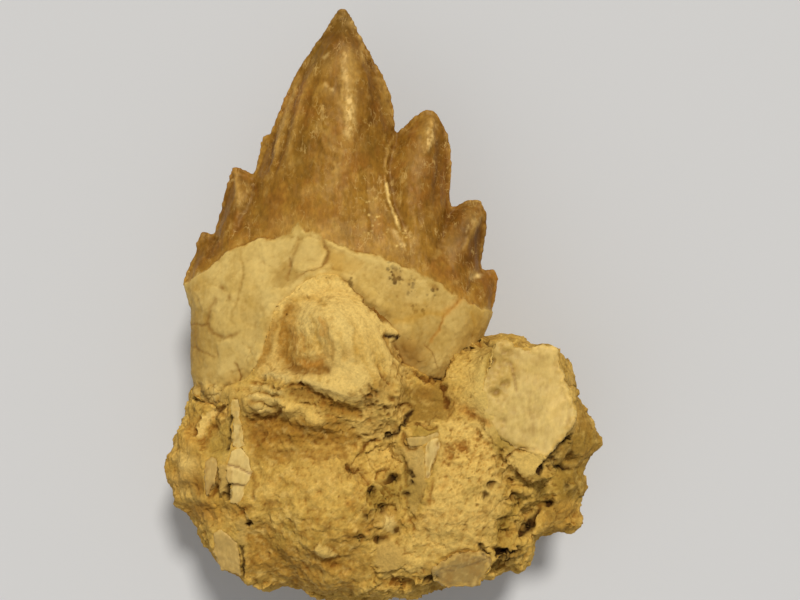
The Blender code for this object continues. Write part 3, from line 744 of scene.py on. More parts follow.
def build_tooth():
    tooth, thickness = sculpt_tooth()
    keen = 1 - ramp(thickness, 0.3, 1.4)
    spots = tooth.exact + 2.2 * np.column_stack([tooth.fbm(2.4, 4, 1), tooth.fbm(2.4, 4, 2)])
    edge_y = np.interp(spots[:, 0], *np.array(ENAMEL_EDGE, float).T)
    below = spots[:, 1] - edge_y
    enamel = ramp(-below, -0.7, 0.9)
    back = ramp(-tooth.normals[:, 2], 0.0, 0.3)

    # fine upright wrinkles of the enamel, and the denticles of its cutting edges
    wrinkles = tooth.fbm(0.75, 3, 5, [1, 0.16, 0.6])
    uneven = tooth.fbm(4.5, 3, 6)
    near, _ = cells(tooth.points * [1, 1, 0.3], 1.15, 7)
    tooth.push(enamel * (0.05 * wrinkles + 0.16 * uneven)
               + enamel * keen * (0.2 + 0.36 * (0.5 - near)))
    for line, height, width, _, _ in CROWN_STROKES + ROOT_STROKES:
        tooth.stroke(line, height, width)
    root_form = 0.3 * tooth.fbm(6, 4, 8) + 0.06 * tooth.fbm(1.4, 3, 9)
    lip = 0.27 * np.exp(-np.maximum(below, 0) / 16.0)
    ragged = np.clip(blob(tooth.spots, (208, 396), (30, 13)) * 1.5, 0, 1)
    tooth.push((1 - enamel) * (lip + root_form + 0.7 * tooth.fbm(1.9, 4, 19) * ragged))
    for outline, lift, flat, _, _ in ROOT_PLATES:
        tooth.plate(outline, lift, flat, 1.0)
    for centre, reach, rise, turn in ROOT_RISES:
        tooth.spot(centre, reach, rise * (tooth.normals[:, 2] > 0), turn)

    # the root's paint
    blotches = tooth.fbm(8, 4, 3)
    small = tooth.fbm(2.2, 4, 10)
    tooth.paint[:] = COLOURS["root"]
    tooth.colour("root_pale", ramp(blotches + 0.4 * small, -0.05, 0.5) * 0.6)
    tooth.colour("root_tan", ramp(-blotches + 0.4 * small, 0.05, 0.6) * 0.6)
    tooth.colour("root_tan", ramp(tooth.fbm(1.3, 4, 11), 0.1, 0.7) * 0.5)
    tooth.colour("root_pale", ramp(tooth.fbm(1.9, 4, 12), 0.1, 0.6) * 0.5)
    tooth.colour("stain", speckle(tooth.points, 2.2, 0.16, 0.12, 15) * 0.5)
    clusters = np.max([blob(tooth.exact, centre, reach) for centre, reach in ROOT_SPECKS], axis=0)
    dots = np.maximum(speckle(tooth.points, 0.9, 0.75, 0.7, 16),
                      speckle(tooth.points, 1.3, 0.6, 0.6, 19))
    tooth.colour("dirt", ramp(dots * np.clip(clusters * 1.5, 0, 1), 0.1, 0.3))
    crust = tooth.fbm(1.4, 4, 20)
    tooth.colour("stain", ramp(crust, 0.0, 0.5) * 0.5 * ragged)
    tooth.colour("amber", ramp(-crust, 0.0, 0.5) * 0.6 * ragged)
    brushed = tooth.fbm(1.5, 4, 18, [1, 0.35, 1])
    tooth.colour("root_tan", ramp(brushed, 0.1, 0.7) * 0.35)
    tooth.colour("root_pale", ramp(-brushed, 0.1, 0.7) * 0.35)
    for centre, reach, turn, colour, strength in ROOT_BLOTCHES:
        tooth.colour(colour, blob(tooth.spots, centre, reach, turn) * strength * (1 - back))
    for outline, _, _, colour, strength in ROOT_PLATES:
        flaked = tooth.area(outline, 3) * strength * (1 - back)
        tooth.colour(colour, flaked * ramp(small, -0.7, 0.2))
    for line, _, width, colour, strength in ROOT_STROKES:
        gap, _ = line_distance(tooth.spots, line)
        tooth.colour(colour, np.exp(-(gap / width) ** 2) * strength * (1 - back))
    root = tooth.paint.copy()

    # the crown's paint
    tooth.paint[:] = COLOURS["enamel"]
    streaks = tooth.fbm(1.6, 5, 4, [1, 0.4, 1])
    tooth.colour("enamel_dark", ramp(-streaks - 0.3 * blotches, 0.1, 0.8) * 0.4)
    tooth.colour("enamel_pale", ramp(small + 0.5 * streaks, 0.2, 1.0) * 0.45)
    tooth.colour("enamel_red", ramp(tooth.fbm(5.0, 3, 13, [1, 0.6, 1]), 0.0, 0.5) * 0.5)
    clouds = tooth.fbm(3.2, 3, 17)
    tooth.colour("enamel_dark", ramp(clouds, 0.1, 0.7) * 0.35)
    tooth.colour("amber", ramp(-clouds, 0.1, 0.7) * 0.3)
    # worn patches break up the strokes below, and break up the glint strokes, which are painted
    # highlight, the most
    worn = ramp(tooth.fbm(1.1, 4, 14, [1, 0.7, 1]), -0.3, 0.4)
    for centre, reach, turn, colour, strength in CROWN_BLOTCHES:
        tooth.colour(colour, blob(tooth.spots, centre, reach, turn) * strength)
    for line, _, width, colour, strength in CROWN_STROKES:
        gap, along = line_distance(tooth.spots, line)
        ends = fading(along, 0, 0.2) * (worn if colour == "glint" else 0.6 + 0.4 * worn)
        tooth.colour(colour, np.exp(-(gap / width) ** 2) * strength * ends)
    # pale flecks where the enamel is scuffed, painted as its sparkling highlights
    scuffed = np.maximum(blob(tooth.spots, (398, 240), (15, 15)),
                         0.7 * blob(tooth.spots, (372, 212), (12, 30)))
    flecks = speckle(tooth.points, 0.8, 0.6, 0.55, 21)
    tooth.colour("cream", ramp(flecks * scuffed, 0.1, 0.5) * 0.7)
    tooth.colour("enamel_pale", keen * ramp(near, 0.75, 0.25) * 0.2)
    tooth.colour("amber", np.exp(-(below / 9.0) ** 2) * 0.4)
    coat = ramp(-below + 2.5 * small, -2.2, 2.6)[:, None]
    tooth.paint = root * (1 - coat) + tooth.paint * coat
    # painted shade in the tooth's hollows and painted highlight on its crests
    tooth.shade_relief(12, 0.12, 0.35, 0.14)
    tooth.gloss = enamel * (0.85 - 0.45 * ramp(small, 0.1, 0.6)) + (1 - enamel) * 0.1
    tooth.finish(tooth_material(), "tooth")
    return tooth


# ---------------------------------------------------------------- the rock

# Areas of the rock: softness in pixels, colour, strength, name, outline.
# the brown slope under the knob's ledge: its own brown, darkened further as painted shade under
# the ledge
# the foot: its own brown, with painted shade on its downward faces
# the slab's right side face, painted dark olive as the shade on it
ROCK_AREAS = {name: area for *area, name in rows("""
3 cream 0.9 knob: 268,335 276,308 296,286 318,276 338,281 354,294 374,311 394,328 400,338 398,356
    410,370 400,385 385,398 366,405 345,401 322,394 302,384 262,376 256,366 266,352;
7 rock_brown 0.75 brown: 244,419 300,417 345,420 362,436 345,456 300,460 250,462;
8 rock 0.5 middle: 255,462 340,452 362,500 356,540 300,556 250,536 246,490;
5 rock_pale 0.8 porous: 364,388 378,366 392,352 402,364 412,382 412,398 405,418 388,440 366,442
    350,424 362,405;
4 olive_dark 0.85 olive: 402,386 442,384 446,400 444,420 410,424;
5 rock_pale 0.8 granular: 440,425 455,418 488,428 500,460 506,500 492,545 470,548 440,556 420,575
    400,570 405,540 425,515 434,470;
5 rock 0.7 lobe_top: 444,362 460,350 482,345 486,380 480,412 446,420;
7 slab 0.85 slab_side: 474,352 500,340 512,350 512,400 512,452 496,438 476,414 472,380;
6 orange 0.2 left_crust: 162,436 196,440 204,500 238,508 240,522 212,528 178,510 164,480;
6 rock 0.25 left: 160,396 232,392 234,500 242,520 240,580 160,560;
5 rock 0.5 top_left: 184,392 230,392 232,450 178,450;
3 shard_grey 0.7 strip: 400,448 424,446 426,500 408,504 402,476;
4 olive_dark 0.7 side: 562,355 585,395 606,440 598,470 585,500 558,500 556,455 574,436 580,412;
4 amber 0.2 low_lump: 540,500 570,500 584,510 578,535 548,542 538,520;
5 rock_olive 0.25 rough_olive: 504,470 540,470 536,500 526,545 500,556 494,530;
5 rock_olive 0.5 right_end: 534,478 556,460 584,470 586,500 560,500 545,512 530,500;
8 rock_brown 0.35 foot: 246,530 300,548 360,540 372,575 345,600 280,592 246,575
""")}

# Cracks and ledges of the rock: height, width in pixels, colour, strength, line. The dark paint
# down the cracks is painted shade in them.
# slab's undercut, its dark stroke painted as the shadow under the slab's edge, and the broken
# right end
# the hollow's bottom, dark as painted shade
# the knob's hollow: its left wall brown as painted shade
# under the knob's lower lip and its flap: brown painted as the shadow under them
ROCK_STROKES = rows("""
# round the knob
-0.3 1.6 stain 0.75: 336,279 345,285 358,297 371,307 384,320 394,331;
-0.7 1.6 dirt 1: 382,338 390,337 400,336;
-0.2 1.4 stain 0.8: 372,309 380,316 387,324;
-0.3 1.6 rock_brown 0.7: 383,333 388,343 392,349 398,359 408,366;
-0.25 2.6 rock_brown 0.65: 277,318 271,332 270,345 264,358 255,370;
-0.35 3.6 rock_brown 0.75: 298,300 289,308 284,320 283,340 284,356 290,367;
-0.2 2.2 rock_brown 0.5: 322,316 325,330 330,346 333,366;
-0.1 2.4 amber 0.4: 352,344 362,360 372,380 376,394;
0 3 orange 0.35: 292,316 293,334 296,352;
-0.15 1.6 orange 0.5: 299,330 303,342 304,352;
-0.1 2 orange 0.5: 317,314 322,326 321,338;
-0.1 2.4 amber 0.35: 336,330 342,346 345,362;
-0.12 3 amber 0.35: 346,318 362,340 376,362 384,380;
0.12 3 cream 0.5: 356,306 374,330 388,356 396,372;
-0.15 1.4 amber 0.5: 310,312 315,330 318,350;
0.2 3 cream 0.5: 340,296 356,318 366,344 372,366;
-0.2 1.8 amber 0.4: 352,330 356,350 354,368;
-0.25 2.4 amber 0.5: 290,302 304,297 318,299 328,306;
-0.6 4.2 stain 0.75: 284,362 294,370 312,373 332,370;
-0.1 3.6 orange 0.8: 296,361 310,365 324,362;
0.55 3 root_pale 0.7: 262,372 275,374 292,380;
0.4 2.6 root_pale 0.5: 296,380 312,384 328,388 344,394;
-0.3 1.3 rock_brown 0.5: 250,384 262,382 278,388;
0.25 1.8 root_pale 0.5: 249,389 264,387 281,393;
-0.35 1.3 rock_brown 0.6: 248,394 264,393 281,398;
0.25 1.8 root_pale 0.5: 248,398 266,398 281,402;
-0.35 1.3 rock_brown 0.6: 249,403 264,404 278,406;
0.2 1.6 root_pale 0.4: 250,407 264,409 276,409;
-0.5 2 stain 0.7: 250,413 262,418 276,415 283,406;
-0.3 5 rock_brown 0.6: 318,399 332,404 348,410 362,412;
-0.5 1.8 stain 0.7: 284,392 290,385 301,385 314,392 326,400;
0.3 6 rock_pale 0.7: 276,409 290,408 306,412 318,418 326,424;
-0.35 2.4 rock_brown 0.5: 240,421 262,420 290,420;
-0.4 1.6 stain 0.6: 366,386 372,392 378,396;
-0.35 1.4 stain 0.55: 378,374 384,380 390,384;
-0.4 1.6 stain 0.6: 358,390 363,398 366,408;
-0.25 1.4 rock_brown 0.5: 392,362 400,372 404,380;
# the black crack right of the knob and down to the olive hollow
-0.3 1.8 stain 0.85: 408,367 416,374 425,379 438,379;
-0.5 1.6 stain 0.8: 438,380 445,388 446,398 446,412;
-0.7 1.6 dirt 0.9: 413,408 406,419 398,430 390,437 382,441;
-0.6 1.8 stain 0.8: 382,441 372,440 364,444 360,452;
-0.4 1.2 stain 0.8: 395,408 404,406 412,408;
-0.5 1.6 stain 0.6: 414,424 428,429 440,427;
-0.7 1.8 stain 0.7: 402,430 403,440 409,449 420,448;
-0.5 2 rock_olive 0.6: 405,450 404,470 405,490;
# long cracks of the left side
-1 1.5 dirt 0.85: 231,410 229,425 228,440 226,452;
-1.2 2.2 dirt 0.9: 231,484 228,492 226,500;
-0.8 2 stain 0.7: 218,486 212,494 206,500;
-0.6 1.2 dirt 0.9: 240,543 242,558 243,578;
-1 2.2 dirt 0.9: 247,520 250,527;
-0.3 1.8 stain 0.45: 193,440 197,426 201,414;
-0.25 2.8 rock_brown 0.55: 227,408 219,422 209,436 198,448;
-0.3 2 stain 0.4: 252,470 254,484 250,500;
-0.4 1.2 stain 0.6: 218,468 218,488 222,499;
-0.2 1 stain 0.6: 226,464 238,468 252,475;
-0.3 1.2 stain 0.6: 229,486 238,485 246,487;
# streaks of the brown slope
-0.2 3 rock_brown 0.4: 256,427 285,425 310,429;
-0.15 3.4 rock_brown 0.35: 262,438 290,436 318,440 345,436;
0.35 2.6 amber 0.35: 300,422 325,425 348,430;
0.3 2.8 rock 0.4: 270,446 300,447 335,446;
-0.3 2 stain 0.3: 300,456 326,458 350,456;
-0.7 2.2 stain 0.6: 345,462 356,471 362,466;
# slab's undercut and the broken right end
-1.4 2 dirt 0.95: 572,434 565,442 557,451 548,460 540,470 534,477;
-0.2 2.4 rock_olive 0.4: 500,430 502,448 498,466 502,482;
-0.6 2 dirt 0.6: 486,340 492,345 491,350;
-0.25 1.6 root_tan 0.5: 511,360 514,374 517,393;
-0.1 2.4 root_tan 0.35: 500,352 511,352 522,358;
-0.15 1.8 rock_olive 0.5: 500,436 512,445 524,449 538,449;
-0.4 1.4 stain 0.7: 503,468 507,458 515,451 529,449;
-0.4 1.4 stain 0.5: 514,474 524,480 534,479;
0.2 4 cream 0.4: 546,420 556,408 566,398;
-1.1 2.2 dirt 0.8: 478,543 484,552 494,558;
-0.9 2.2 dirt 0.9: 498,547 504,556 512,553 521,547;
-0.6 2 dirt 0.7: 518,535 525,525 533,515 541,507;
-0.5 2.2 rock_olive 0.6: 500,536 508,520 514,508 524,498;
0.35 3 rock_pale 0.3: 520,455 535,452 548,458;
-0.2 1.4 stain 0.35: 422,482 430,474 435,462 438,448;
-0.4 2 rock_brown 0.5: 431,508 431,492 434,476;
0.3 2.6 rock_olive 0.3: 425,506 426,492 428,480;
-0.2 1.4 shard_grey 0.5: 424,448 420,462 418,480;
-0.15 3.2 orange 0.6: 458,407 470,412 482,419 494,427;
# foot
-0.2 1.6 rock_brown 0.4: 438,563 460,551 482,553;
0.5 2.8 rock_pale 0.6: 315,545 325,552 336,557;
-0.25 2.4 rock_brown 0.6: 318,560 330,563 342,568;
-0.1 3 rock_brown 0.3: 262,545 282,553 300,549;
-0.3 3 rock_brown 0.4: 285,565 295,578 300,588
""")

# Pits and lumps of the rock: centre, reach in pixels, height, turn, colour, strength. The dark
# paint in the pits is painted shade in them. So is the paint of the cave under the knob's lip, of
# the knob's hollow and of the slab's dents.
# the cave and the lip under the knob, painted as shade
# the slab's dents and the band beside them, olive as painted shade
ROCK_SPOTS = rows("""
493,366 10,18 0 0 rock 0.5; 478,385 14,34 0 0 slab 0.35; 487,410 16,18 0 0 slab 0.8;
503,442 15,9 0 20 rock_olive 0.5; 524,463 22,12 0 0 rock_pale 0.7;
505,360 9,12 -0.2 0 rock_olive 0.35; 545,350 18,5 0.2 5 cream 0.4; 560,400 14,26 0 10 cream 0.4;
540,370 22,12 0 10 rock 0.2; 470,430 24,8 0 10 cream 0.3; 455,520 22,30 0 0 cream 0.15;
300,478 34,12 0 0 rock_brown 0.15; 560,520 20,16 0 0 rock_brown 0.35;
297,346 12,24 -0.45 0 amber 0.3; 308,360 20,8 -0.35 6 amber 0.2; 357,335 22,34 0.5 -20 cream 0.5;
303,393 17,8 -0.2 10 stain 0.6; 342,409 18,5 -0.1 12 rock_brown 0.6;
345,354 6,7 -0.3 0 orange 0.35; 331,320 3,2.5 -0.3 0 rock_brown 0.6; 308,352 10,4 0.15 0 cream 0.3;
309,322 8,18 0.15 0 cream 0.85; 300,364 20,7 -0.3 8 rock_brown 0.75;
288,340 5,20 -0.2 0 rock_brown 0.55; 296,345 9,7 0 30 orange 0.5; 334,346 9,22 0 -12 cream 0.6;
300,346 10,5 0.1 20 cream 0.4; 291,312 9,4 -0.2 -30 rock_brown 0.5; 318,367 12,4 -0.2 4 orange 0.5;
372,350 10,18 0 -20 rock 0.35; 352,372 14,10 0.2 30 root_pale 0.4;
272,345 4,18 -0.2 12 rock_brown 0.5; 320,288 16,5 0.2 -10 cream 0.6;
342,328 9,20 0 -14 root_pale 0.5; 347,374 18,10 0 30 cream 0.5; 362,352 7,12 0 -20 amber 0.35;
306,314 7,12 0 0 root_pale 0.35; 310,345 15,11 0 0 amber 0.45; 284,342 5,16 0 0 amber 0.5;
322,356 8,6 0 0 orange 0.35; 262,358 5,8 0 30 root_tan 0.4; 445,386 2.4,3 -0.3 0 stain 0.6;
420,392 8,6 0 0 stain 0.35; 391,479 6,3.2 -1.5 -12 dirt 1; 408,472 3.5,3.5 -1 0 dirt 0.9;
373,493 3.5,6 -1.2 -25 dirt 0.95; 383,510 4,5 -1 -30 dirt 0.8; 366,515 5,3 -0.9 -30 dirt 0.7;
395,532 5,3 -1 0 dirt 0.7; 360,538 6,3 -0.9 0 dirt 0.6; 380,540 4,3 -0.9 -30 dirt 0.7;
390,492 14,10 -0.4 0 rock_olive 0.7; 375,505 8,10 -0.3 0 rock_olive 0.6;
388,523 7,6 0.6 0 root_pale 0.6; 392,455 16,10 0.5 0 rock_pale 0.5;
390,555 14,14 0.3 0 shard_grey 0.6; 492,484 3.2,3 -0.9 0 dirt 0.7; 488,495 3,4 -0.9 0 dirt 0.7;
449,446 4,3 -0.4 30 stain 0.35; 462,447 6,5 -0.4 0 orange 0.5; 440,445 4,4 -0.5 0 stain 0.5;
448,455 4,6 -0.4 0 orange 0.4; 466,410 14,7 -0.2 15 orange 0.35;
504,384 8,4 -0.4 -25 rock_olive 0.5; 496,391 7,4 -0.45 10 rock_olive 0.55;
490,362 5,14 -0.6 0 rock_olive 0.5; 448,405 5,14 -0.4 0 stain 0.4;
470,395 14,14 0.3 0 rock_pale 0.3; 460,372 12,10 0.3 0 rock_pale 0.3;
563,468 9,2.4 -1.2 8 dirt 0.9; 568,485 3,5 -0.8 -20 dirt 0.6; 548,502 4.5,3.2 -1.2 0 dirt 0.95;
553,460 6,3 -0.9 0 dirt 0.5; 527,526 5,6 -0.9 30 dirt 0.85; 506,555 7,4 -1.2 -10 dirt 0.9;
515,497 5,3 -0.8 0 dirt 0.5; 512,512 7,9 0.5 0 rock 0.4; 528,490 9,7 0.6 0 rock 0.5;
560,505 12,8 0.5 0 rock_brown 0.3; 576,515 5,4 -0.3 0 stain 0.35; 582,440 12,10 0 0 rock_olive 0.4;
571,425 4,6 0.4 20 shard_grey 0.6; 505,525 6,8 -0.5 0 rock_olive 0.5; 520,540 8,5 0.4 0 rock 0.4;
432,580 7,4 -1.4 0 dirt 0.9; 424,570 5,4 -0.8 0 stain 0.6; 400,585 14,5 -0.8 0 rock_brown 0.6;
276,521 7,6 0.3 0 rock_pale 0.3; 289,526 6,3 -0.3 20 rock_olive 0.5;
268,490 10,8 0.4 0 rock_pale 0.4; 272,505 6,4 -0.5 0 stain 0.4; 240,508 12,5 -0.6 0 rock_brown 0.6;
414,492 9,14 0 0 rock_olive 0.5; 420,461 5,9 0 0 root_pale 0.3; 411,483 2.6,2.6 -0.7 0 dirt 0.85;
407,493 4,2.6 -0.6 0 dirt 0.85; 412,476 2.6,2.2 -0.5 0 dirt 0.8; 205,512 14,8 0 0 orange 0.5;
173,458 6,5 0.5 0 amber 0.5; 186,461 11,6 0 25 cream 0.55; 180,478 8,11 0 0 orange 0.4;
196,482 5,13 0 0 rock_brown 0.6; 172,470 4,8 0 0 amber 0.4; 188,496 10,5 0 20 cream 0.45;
205,506 11,5 0 0 rock_brown 0.6; 190,434 5,14 0 15 orange 0.4; 189,469 9,8 0.6 0 cream 0.4;
192,497 8,6 0.5 0 rock 0.5; 178,480 8,7 0.4 0 rock_pale 0.35; 214,490 4,5 -0.4 30 rock_brown 0.7;
218,505 5,9 0.6 0 amber 0.8; 198,488 6,8 -0.6 0 stain 0.4; 208,392 5,4 -0.9 0 stain 0.8;
262,432 10,8 -0.4 0 stain 0.4; 325,478 30,22 0.3 0 rock_pale 0.25;
330,565 16,7 -0.5 0 rock_brown 0.4; 262,400 16,12 0.7 0 root_pale 0.45;
228,392 10,6 0.4 0 root 0.5; 352,470 10,6 -0.6 20 stain 0.5; 385,385 10,8 -0.3 0 rock_brown 0.5;
378,396 5,4 -0.5 0 stain 0.5; 392,398 4,3 -0.5 0 stain 0.6; 370,402 5,8 -0.7 0 stain 0.5;
385,410 6,4 -0.6 0 stain 0.4; 372,425 10,8 -0.5 0 rock_brown 0.35;
415,560 12,10 0.3 0 rock_pale 0.3
""")

# Broken flat faces of the rock: lift, flatness, softness, colour, strength, outline.
ROCK_PLATES = rows("""
0.1 0.6 2 cream 0.8: 196,437 200,426 203,415 212,411 225,406 217,419 208,428 202,438;
0 0.3 2 amber 0.4: 186,436 190,412 196,410 198,418 192,442;
-0.2 0.7 1.5 rock_olive 0.35: 214,432 228,418 230,446 218,456 208,450;
-0.1 0.7 2 rock_olive 0.3: 204,436 214,432 230,452 228,468 218,464 206,456;
0.1 0.7 2.5 rock_brown 0.3: 190,448 201,442 202,470 200,498 190,490 186,466;
0.5 0.9 1.2 shard_grey 0.9: 218,468 226,464 231,470 230,486 222,498 218,488;
0.1 0.85 1.6 shard_grey 0.8: 404,450 416,446 426,450 424,476 422,500 416,516 408,500 405,476;
0.3 0.8 1.6 shard_grey 0.6: 374,566 376,544 392,538 402,548 398,568 384,574;
0.5 0.8 1.2 root_pale 0.6: 382,530 384,518 394,517 396,526 392,534;
0.4 0.8 1.2 root_pale 0.5: 312,548 318,544 338,554 334,560 320,556;
0.3 0.8 1.2 shard_grey 0.6: 238,520 244,518 248,530 246,546 238,540;
0 0.8 1.2 rock_olive 0.6: 410,426 438,426 440,434 412,438;
0.1 0.8 1.5 slab 0.75: 508,457 516,452 534,454 548,457 545,466 536,475 522,474 511,468
""")

# The sheet of rock round the knob: it shares the edge of the rock that ROOT_SHOWS gives.
ROCK_FILM = ROOT_SHOWS[5:34] + words("446,374 448,400 400,402 340,396 290,392 250,400 226,402")

# Parts of the rock that slope down to an edge: drop, reach in pixels, outline, edge line.
ROCK_SLOPES = rows("""
5.6 52: 256,350 264,304 288,272 330,260 362,276 402,312 420,340 418,372 380,400 300,395 262,380:
    268,350 274,318 290,296 311,281 334,277 371,306 400,335 402,356;
1.6 18: 292,372 330,380 374,388 384,412 350,418 318,410 298,397: 298,388 316,399 336,408 366,412
""")

# Large swellings and hollows of the rock: centre, reach in pixels, rise, turn.
ROCK_FORMS = rows("""
518,489 18,10 3.2 0; 386,494 18,16 2 0; 529,516 12,13 1.6 0; 524,524 8,15 2.4 20;
300,346 17,26 -0.7 0; 340,470 40,16 0.4 0; 262,402 16,12 -1 0; 506,552 14,8 1.2 0;
300,414 22,7 0.4 8; 408,412 8,8 1 0; 392,432 12,8 1.2 -40; 378,424 16,12 1.3 0; 320,434 50,9 1 0;
560,468 14,10 1.6 0; 566,484 10,10 1.4 0; 546,500 10,8 1.4 0; 250,345 12,30 0.5 10
""")

# Flat beds of the rock: height at the middle with its rise per pixel across and down, softness,
# outline.
ROCK_LEVELS = rows("""
32.4,0.012,0.02 3: 398,362 412,371 425,379 440,383 447,394 448,416 440,430 404,428 398,412 404,390;
38,0,0 2: 284,390 292,385 302,385 314,392 322,400 318,406 300,405 286,402;
37,-0.012,-0.11 5: 316,399 336,404 352,409 368,411 380,422 360,430 336,428 314,418;
35.2,0,-0.03 2: 507,457 516,452 534,455 549,457 546,466 538,475 526,476 514,472
""")

# What lies outside this outline is broken into facets.
ROCK_MIDDLE = words("268,285 400,285 520,340 560,345 575,410 500,560 250,560 235,400")

# Corners of the rock moved sideways: centre, reach in pixels, shift across and down.
ROCK_NUDGES = rows("""
603,443 10,7 9 0; 594,420 9,8 6 0; 591,470 12,13 -10 0; 586,516 14,16 7 0; 574,528 11,8 7 1;
552,547 16,10 -9 -4; 515,570 14,9 14 5; 490,584 9,6 -13 -3; 536,337 9,9 0 7; 496,333 14,8 0 3;
460,598 44,12 0 -10; 410,602 30,12 0 -5; 300,598 44,12 0 -5; 182,514 16,13 9 -1;
178,440 10,14 -2 0; 180,418 12,14 9 0; 190,388 10,14 -5 0; 240,586 12,10 18 -2; 268,588 12,10 0 4;
350,598 24,12 0 6
""")

# Each fragment's two colours, its node and its outline.
FRAGMENT_LOOKS = {node: look for *look, node in rows("""
slab root_tan bone_slab: 494,343 505,340 516,347 528,349 540,345 553,345 558,352 560,366 566,386
    571,400 577,411 572,424 565,437 555,449 547,457 538,455 524,451 512,447 500,438 488,420 482,400
    484,375 490,358;
root_pale root bone_strip: 425,446 429,441 437,438 439,447 436,459 432,468 429,479 425,478 424,462;
root root_tan bone_chip: 404,438 414,436 426,436 438,430 440,436 430,442 417,447 409,449;
root_pale root_tan root_shard_upper: 233,399 239,398 241,408 239,417 242,425 243,436 245,446
    238,450 231,447 231,438 232,428 234,420 232,410;
shard_grey rock_brown root_shard_blade: 206,461 210,457 217,458 218,470 217,482 212,490 208,498
    204,496 204,480 205,468;
root_pale root root_shard_segmented: 231,450 242,447 250,460 252,473 248,481 245,485 243,500
    238,504 230,502 231,486 227,475 228,462;
shard_grey root root_shard_lower: 213,534 221,529 230,536 238,543 240,554 241,577 232,573 222,570
    217,563 215,553;
block rock_brown facet_block: 430,572 440,562 452,555 464,551 480,552 492,559 489,570 482,580
    480,586 462,587 445,586 434,581
""")}

FRAGMENTS = list(FRAGMENT_LOOKS)

# What the rock covers of the slab.
SLAB_COVERED = words("""
474,335 487,335 486,380 495,415 504,434 514,450 520,466 520,480 480,480
""")

# The part of the slab that weathers into the rock.
SLAB_ROUGH = words("""
480,330 512,336 518,372 506,400 506,436 520,456 520,484 480,480
""")

# Flat faces of single fragments: node, lift, flatness, softness, outline.
FRAGMENT_PLATES = rows("""
root_shard_segmented 0.1 0.8 1: 226,446 248,446 255,474 226,464;
root_shard_segmented 0.3 0.8 1: 226,466 255,476 250,485 228,485;
root_shard_segmented -0.1 0.8 1: 230,487 248,487 246,506 230,506;
facet_block 0.2 0.8 1.4: 430,562 460,548 484,552 462,564 432,572;
facet_block -0.3 0.8 1.4: 434,576 464,566 494,556 492,572 482,588 440,588;
bone_strip -0.3 0.8 1.4: 422,438 431,438 428,482 422,482
""")


def mesh_of(node):
    """A node's points, in millimetres, and its faces."""
    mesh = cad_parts[node].data
    faces = [list(face.vertices) for face in mesh.polygons]
    return [vertex.co / MM for vertex in mesh.vertices], faces


def close_to_tooth(points, reach):
    """1 for points that touch the tooth's solid, falling to 0 at the reach."""
    tree = BVHTree.FromPolygons(*mesh_of("tooth"))
    gaps = [tree.find_nearest(Vector(p), reach)[3] for p in points.tolist()]
    gaps = np.array([reach if gap is None else gap for gap in gaps])
    return 1 - gaps / reach


def upper_plane(node):
    """The plane z = (a, b, c) . (x, y, 1) that best fits a node's upper face, in millimetres."""
    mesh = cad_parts[node].data
    top = np.array([list(face.center / MM) for face in mesh.polygons
                    if face.normal.z > 0.8 and face.area > 1e-7])
    basis = np.column_stack([top[:, :2], np.ones(len(top))])
    return np.linalg.lstsq(basis, top[:, 2], rcond=None)[0]


def rise_to(rock, node):
    """How far the rock's points have to rise to a fragment's upper plane."""
    flat = np.column_stack([rock.points[:, :2], np.ones(len(rock.points))])
    return flat @ upper_plane(node) - rock.points[:, 2]


def covering(rock, node):
    """1 where the rock lies over a fragment."""
    return rock.area(SLAB_COVERED, 5) if node == "bone_slab" else np.zeros(len(rock.points))


def bed(rock, node):
    """Brings the rock up round a fragment, and keeps it under the fragment's own face."""
    depth = patch_depth(rock.exact, FRAGMENT_LOOKS[node][0])
    rise = rise_to(rock, node)
    upper = rock.upper * (rock.points[:, 2] > FACE_LOW)
    outside = ramp(depth, -14.0, -0.5) * (depth < 0.8)
    if node == "bone_slab":
        outside *= ramp(-rock.exact[:, 0], -545, -525)
    lowest = -2.6 if node == "facet_block" else 0.0
    rock.points[:, 2] += np.clip(rise - 0.12, lowest, 2.6) * outside * upper
    under = ramp(depth, 0.8, 2.6) * upper
    over = covering(rock, node)
    lowered = np.minimum(rise - 0.8, 0.0) * (1 - over) + (rise + 0.25) * over
    rock.points[:, 2] += lowered * under


def keep_under(rock, node):
    """Lowers whatever of the rock still comes through a fragment's face."""
    depth = ramp(patch_depth(rock.exact, FRAGMENT_LOOKS[node][0]), 0.5, 1.5)
    depth *= rock.points[:, 2] > FACE_LOW
    rise = rise_to(rock, node)
    rock.points[:, 2] += np.minimum(rise - 0.9, 0.0) * depth * (1 - covering(rock, node))


def nearness(rock, node):
    """1 over a fragment and beside it, 0 further off."""
    return ramp(patch_depth(rock.exact, FRAGMENT_LOOKS[node][0]), -8.0, -3.0) * rock.upper


def onto(surface, outline):
    """The outline's pixels as points in millimetres on a surface, a height for each place."""
    found = []
    for across, down in outline:
        height = FACE_GUESS
        for _ in range(3):
            place = from_view(across, down, height)
            height = surface(*place)
        found.append((*place, height))
    return found


def prism(name, top, under, inset):
    """A closed mesh between an outline of millimetre points and the same outline lower down."""
    middle = np.mean(top, axis=0)
    solid = bmesh.new()
    upper = [solid.verts.new(Vector(p) * MM) for p in top]
    inner = (np.array(top) - middle) * inset + middle - [0, 0, under]
    lower = [solid.verts.new(Vector(p) * MM) for p in inner]
    caps = [solid.faces.new(upper), solid.faces.new(reversed(lower))]
    for first, second in zip(range(len(top)), [*range(1, len(top)), 0]):
        solid.faces.new([upper[second], upper[first], lower[first], lower[second]])
    bmesh.ops.triangulate(solid, faces=caps)
    bmesh.ops.recalc_face_normals(solid, faces=solid.faces)
    mesh = bpy.data.meshes.new(name)
    solid.to_mesh(mesh)
    solid.free()
    return mesh


